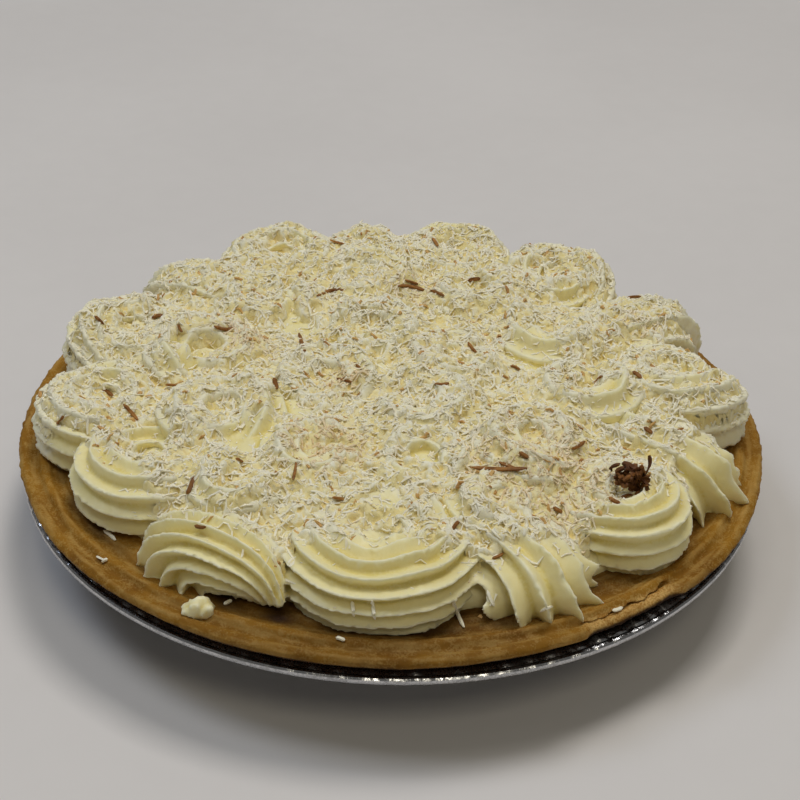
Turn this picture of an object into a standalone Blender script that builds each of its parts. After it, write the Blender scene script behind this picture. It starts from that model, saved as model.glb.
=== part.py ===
"""A ten inch coconut cream pie in its foil tin.

The pie is whole and uncut, so its body is one solid. Whipped cream is piped over it with a star nozzle:
a border of rosettes and shells, and more rosettes inside it. Shreds of coconut lie on the cream, and one
clump of toasted coconut sits on the right. Metres, +Z up, with the origin under the middle of the tin.
"""

import math
import random
from collections import namedtuple

import bmesh
import bpy
from mathutils import Matrix, Vector, noise
from mathutils.bvhtree import BVHTree
from mathutils.kdtree import KDTree

# Foil tin
TIN_BASE_RADIUS = 0.0930
TIN_WALL_RADIUS = 0.1118
TIN_WALL_TOP = 0.0300
TIN_FLANGE_RADIUS = 0.1212
TIN_FLANGE_DROP = 0.0030
BEAD_RADIUS = 0.0013
BEAD_AT_RADIUS = 0.1225
BEAD_HEIGHT = 0.0262
FOIL = 0.0004
PLEAT_DEPTH = 0.0004
TIN_SEGMENTS = 72

# Pastry and its filling, which are one body
CRUST_RADIUS = 0.1250
CRUST_TOP = 0.0352
CRUST_EDGE_THICKNESS = 0.0026
RIB_HEIGHT = 0.0007
RIM_WAVE = 0.0006
GAP = 0.0003
CRUST_SEGMENTS = 72
CHIP_ANGLE = math.radians(-50)
CHIP_HALF_WIDTH = math.radians(9)
CHIP_DEPTH = 0.0022

# Whipped cream
FRONT_RISE = 0.0200
BACK_RISE = 0.0255
MIDDLE_RISE = 0.0265
MOUND_TOP = 0.0175
MOUND_RADIUS = 0.1040
REMESH_STEP = 0.0012
CREAM_FACES = 6200
NOZZLE_POINTS = 10
GROOVE = 0.24
WOBBLE = 0.0012
WOBBLE_SIZE = 0.011
SWELL = 0.10
DAB_AT = (-0.0527, -0.1045, 0.0362)
DAB_RADIUS = 0.0038

# A rosette's rope, as shares of its reach and rise: it starts small in the middle and ends in a tail
ROSETTE_WIDE = 0.49
ROSETTE_HIGH = 0.58
ROSETTE_TURNS = 1.75
ROSETTE_STEPS = 34
ROSETTE_START = 0.16
GROWING_TURNS = 0.7
TAIL_TURNS = 0.35
MIDDLE_DIP = 0.0035

# A shell's rope: it stands up, bends over and runs back to a point
SHELL_HIGH = 0.62
SHELL_BEND = 0.42
SHELL_RUN = 2.1
SHELL_STEPS = 22

# Coconut
SHRED_COUNT = 94
SHRED_WIDTH = 0.0013
SHRED_THICKNESS = 0.0010
BENT_ABOVE = 0.0105
SHRED_LENGTHS = (0.0065, 0.0135)
SHRED_REACH = 0.108
CLUSTER_AT = (0.0730, -0.0630)
CLUSTER_RADIUS = 0.0052
CLUSTER_SHARDS = 11

# Unions: points this close coincide, and a shred this near such a fault is skipped
TOUCH = 1e-6
SKIP_WITHIN = 0.0005
UNION_TRIES = 6

# Creases sharper than this are relaxed after thinning
FOLDED = math.radians(150)
RELAX_BY = 0.6
RELAX_TRIES = 12

GOLDEN_ANGLE = math.pi * (3 - math.sqrt(5))
SEED = 41

Section = namedtuple("Section", "at across up wide high")
Swirl = namedtuple("Swirl", "kind angle out reach rise heading hand")
Ring = namedtuple("Ring", "count first out reach")

# The rosettes inside the border: how many, the first one's angle, their distance out and their size
INNER_RINGS = (Ring(10, math.radians(-151), 0.063, 0.0235), Ring(4, math.radians(-70), 0.024, 0.0245))
BIG_ROSETTE_ANGLE = math.radians(-95)
DRAW_IN = 0.0130


def clear_scene():
    for obj in list(bpy.data.objects):
        bpy.data.objects.remove(obj)


def material(name, colour, roughness, metallic=0.0):
    made = bpy.data.materials.new(name)
    made.use_nodes = True
    shader = made.node_tree.nodes["Principled BSDF"]
    shader.inputs["Base Color"].default_value = (*colour, 1.0)
    shader.inputs["Roughness"].default_value = roughness
    shader.inputs["Metallic"].default_value = metallic
    return made


def mesh_object(name, built, finish=None):
    """Turns a bmesh into an object of the scene, shaded smooth."""
    bmesh.ops.recalc_face_normals(built, faces=built.faces)
    mesh = bpy.data.meshes.new(name)
    built.to_mesh(mesh)
    built.free()
    mesh.shade_smooth()
    mesh.set_sharp_from_angle(angle=math.radians(40))
    obj = bpy.data.objects.new(name, mesh)
    bpy.context.scene.collection.objects.link(obj)
    if finish:
        mesh.materials.append(finish)
    return obj


def apply_modifiers(obj):
    """Puts the result of an object's modifiers in its mesh."""
    graph = bpy.context.evaluated_depsgraph_get()
    shaped = bpy.data.meshes.new_from_object(obj.evaluated_get(graph))
    obj.modifiers.clear()
    obj.data = shaped


def boolean(obj, operation, other=None, collection=None, solver="EXACT"):
    cut = obj.modifiers.new(operation.title(), "BOOLEAN")
    cut.operation = operation
    cut.solver = solver
    if collection:
        cut.operand_type = "COLLECTION"
        cut.collection = collection
    else:
        cut.object = other
    apply_modifiers(obj)


def keep_largest_body(obj):
    """Drops loose scraps and sealed pockets that joining leaves behind."""
    built = bmesh.new()
    built.from_mesh(obj.data)
    waiting = set(built.verts)
    bodies = []
    while waiting:
        front = [waiting.pop()]
        body = list(front)
        while front:
            near = {edge.other_vert(v) for v in front for edge in v.link_edges} & waiting
            waiting -= near
            front = list(near)
            body.extend(front)
        bodies.append(body)
    bodies.sort(key=len)
    for body in bodies[:-1]:
        bmesh.ops.delete(built, geom=body, context="VERTS")
    built.to_mesh(obj.data)
    built.free()


def turned(name, outline, segments, finish=None, shift=None):
    """Turns an outline about Z. It starts and ends on the axis, and shift moves each point of a ring."""
    built = bmesh.new()
    rings = []
    for radius, height in outline:
        if radius == 0:
            rings.append([built.verts.new((0, 0, height))])
            continue
        ring = []
        for i in range(segments):
            angle = 2 * math.pi * i / segments
            out, up = shift(radius, height, angle, i) if shift else (radius, height)
            ring.append(built.verts.new((out * math.cos(angle), out * math.sin(angle), up)))
        rings.append(ring)
    for inner, outer in zip(rings, rings[1:]):
        for i in range(segments):
            j = (i + 1) % segments
            corners = [inner[i % len(inner)], outer[i % len(outer)],
                       outer[j % len(outer)], inner[j % len(inner)]]
            built.faces.new(list(dict.fromkeys(corners)))
    return mesh_object(name, built, finish)


def smooth(x):
    x = min(max(x, 0.0), 1.0)
    return x * x * (3 - 2 * x)


# Foil tin: a thin pleated pan with a sloping flange and a rolled bead

def tin_outline():
    """The foil's section: along its inner face, round the bead, and back along its outer face."""
    flange_top = TIN_WALL_TOP + 0.0006
    bead = [(BEAD_AT_RADIUS + BEAD_RADIUS * math.cos(a), BEAD_HEIGHT + BEAD_RADIUS * math.sin(a))
            for a in (math.radians(d) for d in (110, 50, -10, -70, -130, -190))]
    inner = [(0, FOIL), (TIN_BASE_RADIUS - 0.0006, FOIL), (TIN_WALL_RADIUS, TIN_WALL_TOP),
             (TIN_WALL_RADIUS + 0.0014, flange_top), (TIN_FLANGE_RADIUS, flange_top - TIN_FLANGE_DROP)]
    outer = [(TIN_WALL_RADIUS + 0.0016, flange_top - FOIL - 0.0003),
             (TIN_WALL_RADIUS + FOIL, TIN_WALL_TOP - 0.0010), (TIN_BASE_RADIUS, 0), (0, 0)]
    return inner + bead + outer


def pleat(radius, height, angle, index):
    """Alternate points move out and in on the wall, and up and down on the flange."""
    side = 1 if index % 2 else -1
    on_wall = smooth((radius - TIN_BASE_RADIUS) / 0.004) * (radius < TIN_WALL_RADIUS + 0.001)
    on_flange = TIN_WALL_RADIUS + 0.001 < radius < TIN_FLANGE_RADIUS + 0.0001
    return radius + side * PLEAT_DEPTH * on_wall, height + side * 0.0003 * on_flange


def make_tin():
    foil = material("foil", (0.62, 0.62, 0.63), 0.28, 1.0)
    return turned("foil_tin", tin_outline(), TIN_SEGMENTS, foil, pleat)


# Crust: the pressed rim that shows, and the solid pie below it

def crust_outline(lift=0.0):
    """The pie's section from the middle of its top, over the ribbed rim and down to its base."""
    land = CRUST_TOP + lift
    rim = [(0, land), (0.1070, land), (0.1130, land - 0.0003), (0.1175, land + RIB_HEIGHT),
           (0.1212, land - 0.0002), (0.1238, land + 0.0002), (CRUST_RADIUS, land - 0.0013),
           (CRUST_RADIUS - 0.0005, land - CRUST_EDGE_THICKNESS - 0.0006)]
    wall_out = TIN_WALL_RADIUS - PLEAT_DEPTH - 2 * GAP
    body = [(TIN_WALL_RADIUS + 0.0022, TIN_WALL_TOP + 0.0022), (wall_out, TIN_WALL_TOP),
            (TIN_BASE_RADIUS - 5 * GAP, FOIL + GAP), (0, FOIL + GAP)]
    return rim + body


def rim_wave(radius, height, angle, index):
    """The hand-pressed rim is never quite round or level, and a chip is missing from its edge."""
    share = smooth((radius - 0.114) / 0.008) * (height > TIN_WALL_TOP + 0.0015)
    wave = math.sin(3 * angle + 0.8) + 0.7 * math.sin(7 * angle) + 0.5 * math.sin(13 * angle + 2.0)
    chip = smooth(1.4 - abs(angle_between(angle, CHIP_ANGLE)) / CHIP_HALF_WIDTH * 1.4)
    chip *= smooth((radius - 0.1205) / 0.003)
    crag = 0.0004 * math.sin(29 * angle) * smooth((radius - 0.1205) / 0.003)
    out = radius + share * (RIM_WAVE * 0.5 * wave + crag) - chip * CHIP_DEPTH
    return out, height + share * RIM_WAVE * 0.35 * math.sin(5 * angle + 1.0) - chip * 0.0005


def angle_between(a, b):
    return (a - b + math.pi) % (2 * math.pi) - math.pi


def make_crust():
    pastry = material("pastry", (0.40, 0.22, 0.075), 0.62)
    return turned("crust", crust_outline(), CRUST_SEGMENTS, pastry, rim_wave)


# Piped cream: a star-shaped rope laid along a path, one path for each rosette or shell

def star_rope(sections, points, groove):
    """Lofts the nozzle's star through the sections and closes both ends."""
    built = bmesh.new()
    rings = []
    for place in sections:
        ring = []
        uneven = noise.noise_vector(place.at / WOBBLE_SIZE)
        at = place.at + uneven * WOBBLE
        swell = 1 + SWELL * uneven.z
        for i in range(2 * points):
            angle = math.pi * i / points
            size = swell if i % 2 == 0 else swell * (1 - groove)
            offset = (place.across * place.wide * math.cos(angle)
                      + place.up * place.high * math.sin(angle))
            ring.append(built.verts.new(at + offset * size))
        rings.append(ring)
    for near, far in zip(rings, rings[1:]):
        for i in range(2 * points):
            j = (i + 1) % (2 * points)
            built.faces.new((near[i], near[j], far[j], far[i]))
    built.faces.new(rings[0][::-1])
    built.faces.new(rings[-1])
    return built


def rosette(swirl):
    """The nozzle starts in the middle, spirals out and goes once round, then lets the rope run thin."""
    lobe = swirl.reach * ROSETTE_WIDE
    high = swirl.rise * ROSETTE_HIGH
    ring = swirl.reach - lobe
    middle = Vector((swirl.out * math.cos(swirl.angle), swirl.out * math.sin(swirl.angle), 0))
    sections = []
    for i in range(ROSETTE_STEPS + 1):
        turned_by = ROSETTE_TURNS * i / ROSETTE_STEPS
        angle = swirl.heading + swirl.hand * 2 * math.pi * (turned_by - ROSETTE_TURNS)
        grown = smooth(turned_by / GROWING_TURNS)
        tail = smooth((turned_by - ROSETTE_TURNS + TAIL_TURNS) / TAIL_TURNS)
        size = (0.72 + 0.28 * grown) * (1 - 0.6 * tail)
        away = Vector((math.cos(angle), math.sin(angle), 0))
        lie = swirl.rise - high - MIDDLE_DIP * (1 - grown) - 0.35 * swirl.rise * tail
        at = middle + away * ring * (ROSETTE_START + (1 - ROSETTE_START) * grown + 0.10 * tail)
        at.z = CRUST_TOP + max(lie, high * size * 0.55)
        sections.append(Section(at, away, Vector((0, 0, 1)), lobe * size, high * size))
    return sections


def shell(swirl):
    """The nozzle starts on the crust, swells up and over, and is drawn back to a thin tail."""
    wide = swirl.reach
    high = swirl.rise * SHELL_HIGH
    back = Vector((math.cos(swirl.heading), math.sin(swirl.heading), 0))
    across = Vector((-back.y, back.x, 0))
    middle = Vector((swirl.out * math.cos(swirl.angle), swirl.out * math.sin(swirl.angle), 0))
    bend = high * SHELL_BEND
    sections = []
    for i in range(SHELL_STEPS + 1):
        t = i / SHELL_STEPS
        turn = smooth(t / 0.45) * math.pi / 2
        run = max(t - 0.30, 0.0) / 0.70
        along = -bend * math.cos(turn) + SHELL_RUN * wide * run ** 1.3
        top = swirl.rise - high
        height = top * math.sin(turn) * (1 - 0.75 * run ** 1.6)
        size = (0.80 + 0.20 * smooth(t / 0.25)) * (1 - 0.80 * smooth(run * 1.05))
        heading = back * math.sin(turn) + Vector((0, 0, 1)) * math.cos(turn)
        up = across.cross(heading) * -1
        at = middle + back * along
        at.z = CRUST_TOP + height
        sections.append(Section(at, across, up, wide * size, high * size))
    return sections


def border_swirls(rng):
    """The six front swirls stand where the photograph shows them; a loop fills the rest of the border."""
    deg = math.radians
    swirls = [
        Swirl("rosette", deg(-91.4), 0.0842, 0.0315, FRONT_RISE, deg(168), -1),
        Swirl("shell", deg(-126.0), 0.1060, 0.0135, FRONT_RISE, deg(-27), 1),
        Swirl("rosette", deg(-147.0), 0.0870, 0.0275, FRONT_RISE, deg(60), 1),
        Swirl("shell", deg(-64.5), 0.1060, 0.0190, FRONT_RISE, deg(114), 1),
        Swirl("rosette", deg(-41.5), 0.0935, 0.0230, 0.0210, deg(140), -1),
        Swirl("shell", deg(-21.0), 0.1080, 0.0200, 0.0215, deg(158), 1),
        Swirl("rosette", deg(-168.0), 0.0940, 0.0250, 0.0225, deg(20), 1),
    ]
    kinds = ("rosette", "shell", "rosette", "rosette", "shell", "rosette", "shell", "rosette")
    first, step = 9.0, 22.2
    for i, kind in enumerate(kinds):
        angle = deg(first + step * i + rng.uniform(-1.5, 1.5))
        out, reach = (0.1060, 0.0190) if kind == "shell" else (0.0930, 0.0255)
        heading = angle + math.pi if kind == "shell" else rng.uniform(0, 2 * math.pi)
        rise = BACK_RISE + rng.uniform(-0.0015, 0.0010)
        swirls.append(Swirl(kind, angle, out, reach, rise, heading, rng.choice((-1, 1))))
    return swirls


def inner_swirls(rng):
    """Two rings of rosettes, a little higher than the border, that draw in behind the big front rosette."""
    swirls = []
    for ring in INNER_RINGS:
        for i in range(ring.count):
            angle = ring.first + 2 * math.pi * i / ring.count
            nearness = smooth(1 - abs(angle_between(angle, BIG_ROSETTE_ANGLE)) / math.radians(60))
            drawn_in = nearness * (ring is INNER_RINGS[0])
            reach = ring.reach - 0.0020 * drawn_in + rng.uniform(-0.0015, 0.0015)
            rise = MIDDLE_RISE + rng.uniform(-0.0020, 0.0005) - 0.0030 * drawn_in
            start = rng.uniform(0, 2 * math.pi)
            out = ring.out - DRAW_IN * drawn_in
            swirls.append(Swirl("rosette", angle, out, reach, rise, start, rng.choice((-1, 1))))
    for side in (-1, 1):
        angle = BIG_ROSETTE_ANGLE + side * math.radians(30)
        swirls.append(Swirl("rosette", angle, 0.0790, 0.0180, MIDDLE_RISE - 0.0050, 0.0, side))
    return swirls


def mound():
    """The low bed of cream that fills between the swirls."""
    top = CRUST_TOP + MOUND_TOP
    outline = [(0, top), (0.068, top), (0.086, top - 0.004), (0.096, top - 0.009),
               (MOUND_RADIUS, CRUST_TOP + 0.003),
               (MOUND_RADIUS, CRUST_TOP - 0.004), (0, CRUST_TOP - 0.004)]
    return turned("mound", outline, 48)


def dab():
    """A stray blob of cream on the crust, touching the small shell."""
    built = bmesh.new()
    place = Matrix.Translation(DAB_AT) @ Matrix.Diagonal((1.2, 0.9, 0.8, 1))
    bmesh.ops.create_icosphere(built, subdivisions=2, radius=DAB_RADIUS, matrix=place)
    return mesh_object("dab", built)


def join(objects, name):
    """Puts several objects' meshes in one, still overlapping."""
    built = bmesh.new()
    for obj in objects:
        built.from_mesh(obj.data)
        bpy.data.objects.remove(obj)
    return mesh_object(name, built)


def crossing_faces(built):
    """The faces that pass through one which isn't their neighbour, or fold back onto a neighbour."""
    built.faces.ensure_lookup_table()
    skin = BVHTree.FromBMesh(built)
    found = {face for edge in built.edges if edge.calc_face_angle(0) > FOLDED for face in edge.link_faces}
    for i, j in skin.overlap(skin):
        if i < j and not set(built.faces[i].verts) & set(built.faces[j].verts):
            found |= {built.faces[i], built.faces[j]}
    return found


def relax_crossings(obj):
    """Thinning can push one fold through another, so the points of such faces are evened out."""
    built = bmesh.new()
    built.from_mesh(obj.data)
    for _ in range(RELAX_TRIES):
        crossed = crossing_faces(built)
        if not crossed:
            break
        points = list({vert for face in crossed for vert in face.verts})
        bmesh.ops.smooth_vert(built, verts=points, factor=RELAX_BY,
                              use_axis_x=True, use_axis_y=True, use_axis_z=True)
    built.to_mesh(obj.data)
    built.free()


def make_cream_bed(rng):
    """Melts the overlapping ropes into one skin, thins it out, and cuts it clear of the crust."""
    ropes = [mound(), dab()]
    for swirl in border_swirls(rng) + inner_swirls(rng):
        path = rosette(swirl) if swirl.kind == "rosette" else shell(swirl)
        ropes.append(mesh_object(swirl.kind, star_rope(path, NOZZLE_POINTS, GROOVE)))
    cream = join(ropes, "whipped_cream")
    melt = cream.modifiers.new("Melt together", "REMESH")
    melt.mode = "VOXEL"
    melt.voxel_size = REMESH_STEP
    apply_modifiers(cream)
    thin = cream.modifiers.new("Thin out", "DECIMATE")
    thin.ratio = CREAM_FACES / (2 * len(cream.data.polygons))
    apply_modifiers(cream)
    relax_crossings(cream)
    clearance = turned("clearance", crust_outline(GAP), CRUST_SEGMENTS, None, rim_wave)
    boolean(cream, "DIFFERENCE", clearance)
    bpy.data.objects.remove(clearance)
    keep_largest_body(cream)
    return cream


# Coconut: short bent strips, half sunk in the cream

def surface_of(obj):
    graph = bpy.context.evaluated_depsgraph_get()
    return BVHTree.FromObject(obj, graph)


def strip(points, up, width, thickness):
    """A flat shred through a few points, with square cut ends."""
    built = bmesh.new()
    rings = []
    for i, point in enumerate(points):
        ahead = (points[min(i + 1, len(points) - 1)] - points[max(i - 1, 0)]).normalized()
        side = ahead.cross(up).normalized() * width / 2
        rise = side.cross(ahead).normalized() * thickness / 2
        corners = (side + rise, side - rise, -side - rise, -side + rise)
        rings.append([built.verts.new(point + corner) for corner in corners])
    for near, far in zip(rings, rings[1:]):
        for i in range(4):
            j = (i + 1) % 4
            built.faces.new((near[i], near[j], far[j], far[i]))
    built.faces.new(rings[0][::-1])
    built.faces.new(rings[-1])
    return built


def touching_spots(mesh):
    """Where a mesh only just touches itself: edges of more than two faces, and points that coincide."""
    built = bmesh.new()
    built.from_mesh(mesh)
    faulty = [edge for edge in built.edges if len(edge.link_faces) != 2]
    spots = [vert.co.copy() for edge in faulty for vert in edge.verts]
    tree = KDTree(len(built.verts))
    for i, vert in enumerate(built.verts):
        tree.insert(vert.co, i)
    tree.balance()
    for i, vert in enumerate(built.verts):
        if any(j != i for _, j, _ in tree.find_range(vert.co, TOUCH)):
            spots.append(vert.co.copy())
    built.free()
    return spots


def fuse(obj, pieces):
    """Joins small pieces to an object with one union. A piece that leaves a touching edge is skipped."""
    bare = obj.data.copy()
    waiting = list(pieces)
    for _ in range(UNION_TRIES):
        obj.data = bare.copy()
        group = bpy.data.collections.new("pieces")
        for piece in waiting:
            group.objects.link(piece)
        boolean(obj, "UNION", collection=group, solver="MANIFOLD")
        bpy.data.collections.remove(group)
        keep_largest_body(obj)
        spots = touching_spots(obj.data)
        if not spots:
            break
        skins = {piece: surface_of(piece) for piece in waiting}
        waiting = [piece for piece in waiting
                   if all(skins[piece].find_nearest(spot, SKIP_WITHIN)[0] is None for spot in spots)]
    for piece in pieces:
        bpy.data.objects.remove(piece)


def scatter_shreds(rng, cream):
    """Spreads shreds evenly in a sunflower pattern, and lays each along the cream under it."""
    skin = surface_of(cream)
    down = Vector((0, 0, -1))
    shreds = []
    for i in range(SHRED_COUNT):
        angle = i * GOLDEN_ANGLE + rng.uniform(-0.15, 0.15)
        out = SHRED_REACH * math.sqrt((i + 0.5) / SHRED_COUNT)
        turn = rng.uniform(0, math.pi)
        length = rng.uniform(*SHRED_LENGTHS)
        hit, normal, _, _ = skin.ray_cast(Vector((out * math.cos(angle), out * math.sin(angle), 0.1)), down)
        near_cluster = hit and math.dist(hit.xy, CLUSTER_AT) < CLUSTER_RADIUS + length * 0.5 + 0.002
        if not hit or near_cluster or hit.z < CRUST_TOP + 0.008:
            continue
        lie = Vector((math.cos(turn), math.sin(turn), 0))
        lie = (lie - normal * lie.dot(normal)).normalized()
        half = lie * length / 2
        rise = normal * SHRED_THICKNESS
        points = [hit - half - rise * 0.3, hit + rise * 1.0, hit + half + rise * 0.2]
        if length < BENT_ABOVE:
            points = [hit - half + rise * 0.1, hit + half + rise * 0.8]
        shreds.append(mesh_object("shred", strip(points, normal, SHRED_WIDTH, SHRED_THICKNESS)))
    return shreds


def flatten_seat(cream):
    """Levels a small round seat for the toasted clump, and returns its height."""
    skin = surface_of(cream)
    heights = []
    for i in range(12):
        angle = 2 * math.pi * i / 12
        spot = Vector((CLUSTER_AT[0] + CLUSTER_RADIUS * math.cos(angle),
                       CLUSTER_AT[1] + CLUSTER_RADIUS * math.sin(angle), 0.1))
        heights.append(skin.ray_cast(spot, Vector((0, 0, -1)))[0].z)
    seat = sum(heights) / len(heights)
    built = bmesh.new()
    depth = 0.020
    place = Matrix.Translation((*CLUSTER_AT, seat + depth / 2))
    bmesh.ops.create_cone(built, cap_ends=True, segments=16, radius1=CLUSTER_RADIUS * 1.45,
                          radius2=CLUSTER_RADIUS * 2.2, depth=depth, matrix=place)
    cutter = mesh_object("seat_cutter", built)
    boolean(cream, "DIFFERENCE", cutter)
    bpy.data.objects.remove(cutter)
    keep_largest_body(cream)
    return seat


def make_cluster(rng, seat):
    """A clump of dark toasted shards standing out of a low heart in all directions."""
    toasted = material("toasted_coconut", (0.20, 0.065, 0.018), 0.6)
    built = bmesh.new()
    heart = CLUSTER_RADIUS * 0.62
    place = Matrix.Translation((*CLUSTER_AT, seat + GAP + heart * 0.5))
    bmesh.ops.create_cone(built, cap_ends=True, segments=9, radius1=heart * 1.1,
                          radius2=heart * 0.6, depth=heart, matrix=place)
    cluster = mesh_object("toasted_cluster", built, toasted)
    start = Vector((*CLUSTER_AT, seat + GAP + heart * 0.45))
    shards = []
    for i in range(CLUSTER_SHARDS):
        around = i * GOLDEN_ANGLE
        tilt = math.radians(8 + 62 * (i / CLUSTER_SHARDS) ** 0.8)
        way = Vector((math.cos(around) * math.cos(tilt), math.sin(around) * math.cos(tilt), math.sin(tilt)))
        length = CLUSTER_RADIUS * rng.uniform(0.95, 1.3)
        points = [start, start + way * length * 0.6, start + way * length + Vector((0, 0, 0.0004))]
        side = Vector((0, 0, 1)) if tilt < 0.9 else Vector((1, 0, 0))
        shards.append(mesh_object("shard", strip(points, side, SHRED_WIDTH * 1.15, SHRED_THICKNESS)))
    fuse(cluster, shards)
    return cluster


def main():
    clear_scene()
    rng = random.Random(SEED)
    noise.seed_set(SEED)
    make_tin()
    make_crust()
    cream = make_cream_bed(rng)
    seat = flatten_seat(cream)
    make_cluster(rng, seat)
    fuse(cream, scatter_shreds(rng, cream))
    cream.data.materials.clear()
    cream.data.materials.append(material("whipped_cream", (0.83, 0.79, 0.60), 0.45))
    cream.data.shade_smooth()
    cream.data.set_sharp_from_angle(angle=math.radians(35))


main()
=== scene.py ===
# %% [markdown]
# A coconut cream pie in its foil tin
#
# This lesson dresses a pie that was first built as four plain solids: the foil tin, the crust, the whipped
# cream and a clump of toasted coconut. The solids give the sizes and places, and each step below makes the
# real surface of one of them: crinkled foil, pressed pastry, piped cream with sharp ridges, and about twenty
# thousand shreds and flakes of coconut that rest on each other.
# All sizes are in metres, +Z is up, and the origin is under the middle of the tin.

# %% Load the solids
import math
import random
from collections import namedtuple

import bpy
import numpy as np
from mathutils import Matrix, Vector, noise
from mathutils.bvhtree import BVHTree


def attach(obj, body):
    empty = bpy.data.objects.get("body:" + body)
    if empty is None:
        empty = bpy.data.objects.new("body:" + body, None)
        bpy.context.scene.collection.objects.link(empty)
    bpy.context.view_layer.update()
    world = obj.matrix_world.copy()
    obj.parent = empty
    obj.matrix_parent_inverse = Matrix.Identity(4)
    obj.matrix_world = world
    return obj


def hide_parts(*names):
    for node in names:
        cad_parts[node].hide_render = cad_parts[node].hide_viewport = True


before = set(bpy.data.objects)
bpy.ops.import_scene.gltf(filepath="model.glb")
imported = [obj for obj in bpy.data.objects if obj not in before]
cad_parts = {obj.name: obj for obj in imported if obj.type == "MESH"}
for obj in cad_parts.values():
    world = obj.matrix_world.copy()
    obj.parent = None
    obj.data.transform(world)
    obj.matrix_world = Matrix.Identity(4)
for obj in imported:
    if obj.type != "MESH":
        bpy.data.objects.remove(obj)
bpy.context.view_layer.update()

print("solids:", sorted(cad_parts))

# %% [markdown]
# Values and small helpers
#
# A seed makes every random choice repeat, so that the pie is the same at each run. The noise functions have
# a seed of their own. Two measures are used by more than one piece: how high the crust's top lies, and where
# the big rosette of the front stands. The helpers turn rows of points into a closed skin, which is how a
# turned tin and a piped rope of cream are both made: ring after ring of points, with quads between them.

# %% Shared values and the skin helper
SEED = 41
CRUST_TOP = 0.0352
BIG_ROSETTE_ANGLE = math.radians(-95)
noise.seed_set(SEED)


def smooth(x):
    """Eases from 0 to 1, for a number or an array."""
    x = np.clip(x, 0.0, 1.0)
    return x * x * (3 - 2 * x)


def skin(rings):
    """Points and faces of a closed skin through rings of points, with a fan over each end."""
    count, around, _ = rings.shape
    near = (np.arange(count - 1) * around)[:, None]
    j = np.arange(around)[None, :]
    k = (j + 1) % around
    quads = np.stack([near + j, near + k, near + around + k, near + around + j], axis=-1)
    points = np.concatenate([rings.reshape(-1, 3), rings[:1].mean(1), rings[-1:].mean(1)])
    first, last, top = count * around, count * around + 1, (count - 1) * around
    fans = [(first, b, a) for a, b in zip(j[0].tolist(), k[0].tolist())]
    fans += [(last, top + a, top + b) for a, b in zip(j[0].tolist(), k[0].tolist())]
    return points.tolist(), quads.reshape(-1, 4).tolist() + fans


def mesh_object(name, points, faces, finish=None):
    """A new object from points and faces, at the origin."""
    mesh = bpy.data.meshes.new(name)
    mesh.from_pydata(points, [], faces)
    if finish:
        mesh.materials.append(finish)
    obj = bpy.data.objects.new(name, mesh)
    bpy.context.scene.collection.objects.link(obj)
    return obj


def triangles(obj):
    return sum(len(face.vertices) - 2 for face in obj.data.polygons)


def stands_for(piece, slot, *nodes):
    """The piece rides on the pie's one body and hides the solids that it replaces. Its slot is not used."""
    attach(piece, "root")
    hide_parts(*nodes)
    print(f"{piece.name}: {triangles(piece)} triangles")


# %% [markdown]
# The camera
#
# The photograph was taken from a little above the table, tipped by two degrees. The place was found by
# matching the rim of the crust and the edge of the tin, which are circles of known size and so show
# themselves as ellipses. Setting the camera first means that every later look is judged from there.

# %% Camera
PICTURE = 800
VIEW_ANGLE = math.radians(28)
LOOKING_DOWN = math.radians(31.64)
TIPPED = math.radians(1.91)
CAMERA_DISTANCE = 0.5673
LOOKED_AT = Vector((0.0025, 0.0200, 0.0305))

camera_data = bpy.data.cameras.new("camera")
camera_data.lens = camera_data.sensor_width / 2 / math.tan(VIEW_ANGLE / 2)
camera = bpy.data.objects.new("camera", camera_data)
bpy.context.scene.collection.objects.link(camera)
away = Vector((0, -math.cos(LOOKING_DOWN), math.sin(LOOKING_DOWN)))
level_right = Vector((1, 0, 0))
level_up = away.cross(level_right)
right = level_right * math.cos(TIPPED) + level_up * math.sin(TIPPED)
up = level_up * math.cos(TIPPED) - level_right * math.sin(TIPPED)
eye = LOOKED_AT + away * CAMERA_DISTANCE
camera.matrix_world = Matrix.Translation(eye) @ Matrix((right, up, away)).transposed().to_4x4()
bpy.context.scene.camera = camera


def sight_line(x, y):
    """The direction from the camera through a pixel of the photograph."""
    half = PICTURE / 2
    step = math.tan(VIEW_ANGLE / 2) / half
    return (right * (x - half) * step - up * (y - half) * step - away).normalized()


print("lens in mm:", round(camera_data.lens, 1))

# %% [markdown]
# The light
#
# The shadow in the photograph tells where the light came from. Its edge is soft all round, deepest just in
# front of the pie, blue at the right and warm at the left. That is a room with a large panel overhead and a
# little behind, a cool window light from the left, a weak lamp on the camera's side and a small one nearly
# straight above. Each is given by its lean from the vertical and by the light that it brings to the table,
# and a dim even sky fills the rest.

# %% Panels and sky
SKY_COLOUR = (1.0, 0.98, 0.92)
SKY_STRENGTH = 0.11
PANEL_HEIGHT = 2.40

world = bpy.data.worlds.new("grey sky")
world.use_nodes = True
world.node_tree.nodes["Background"].inputs["Color"].default_value = (*SKY_COLOUR, 1)
world.node_tree.nodes["Background"].inputs["Strength"].default_value = SKY_STRENGTH
bpy.context.scene.world = world
bpy.context.scene.view_settings.view_transform = "Standard"


def panel(name, lean, side, brings, colour):
    """A square light that faces the pie. It leans (x, y) per metre of height."""
    place = Vector((*lean, 1)) * PANEL_HEIGHT
    data = bpy.data.lights.new(name, "AREA")
    data.size = side
    data.energy = brings * math.pi * place.length ** 3 / PANEL_HEIGHT
    data.color = colour
    lamp = bpy.data.objects.new(name, data)
    lamp.location = place + Vector((0, 0, CRUST_TOP))
    lamp.rotation_euler = place.to_track_quat("Z", "Y").to_euler()
    bpy.context.scene.collection.objects.link(lamp)
    print(f"{name}: {data.energy:.1f} W")


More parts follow.
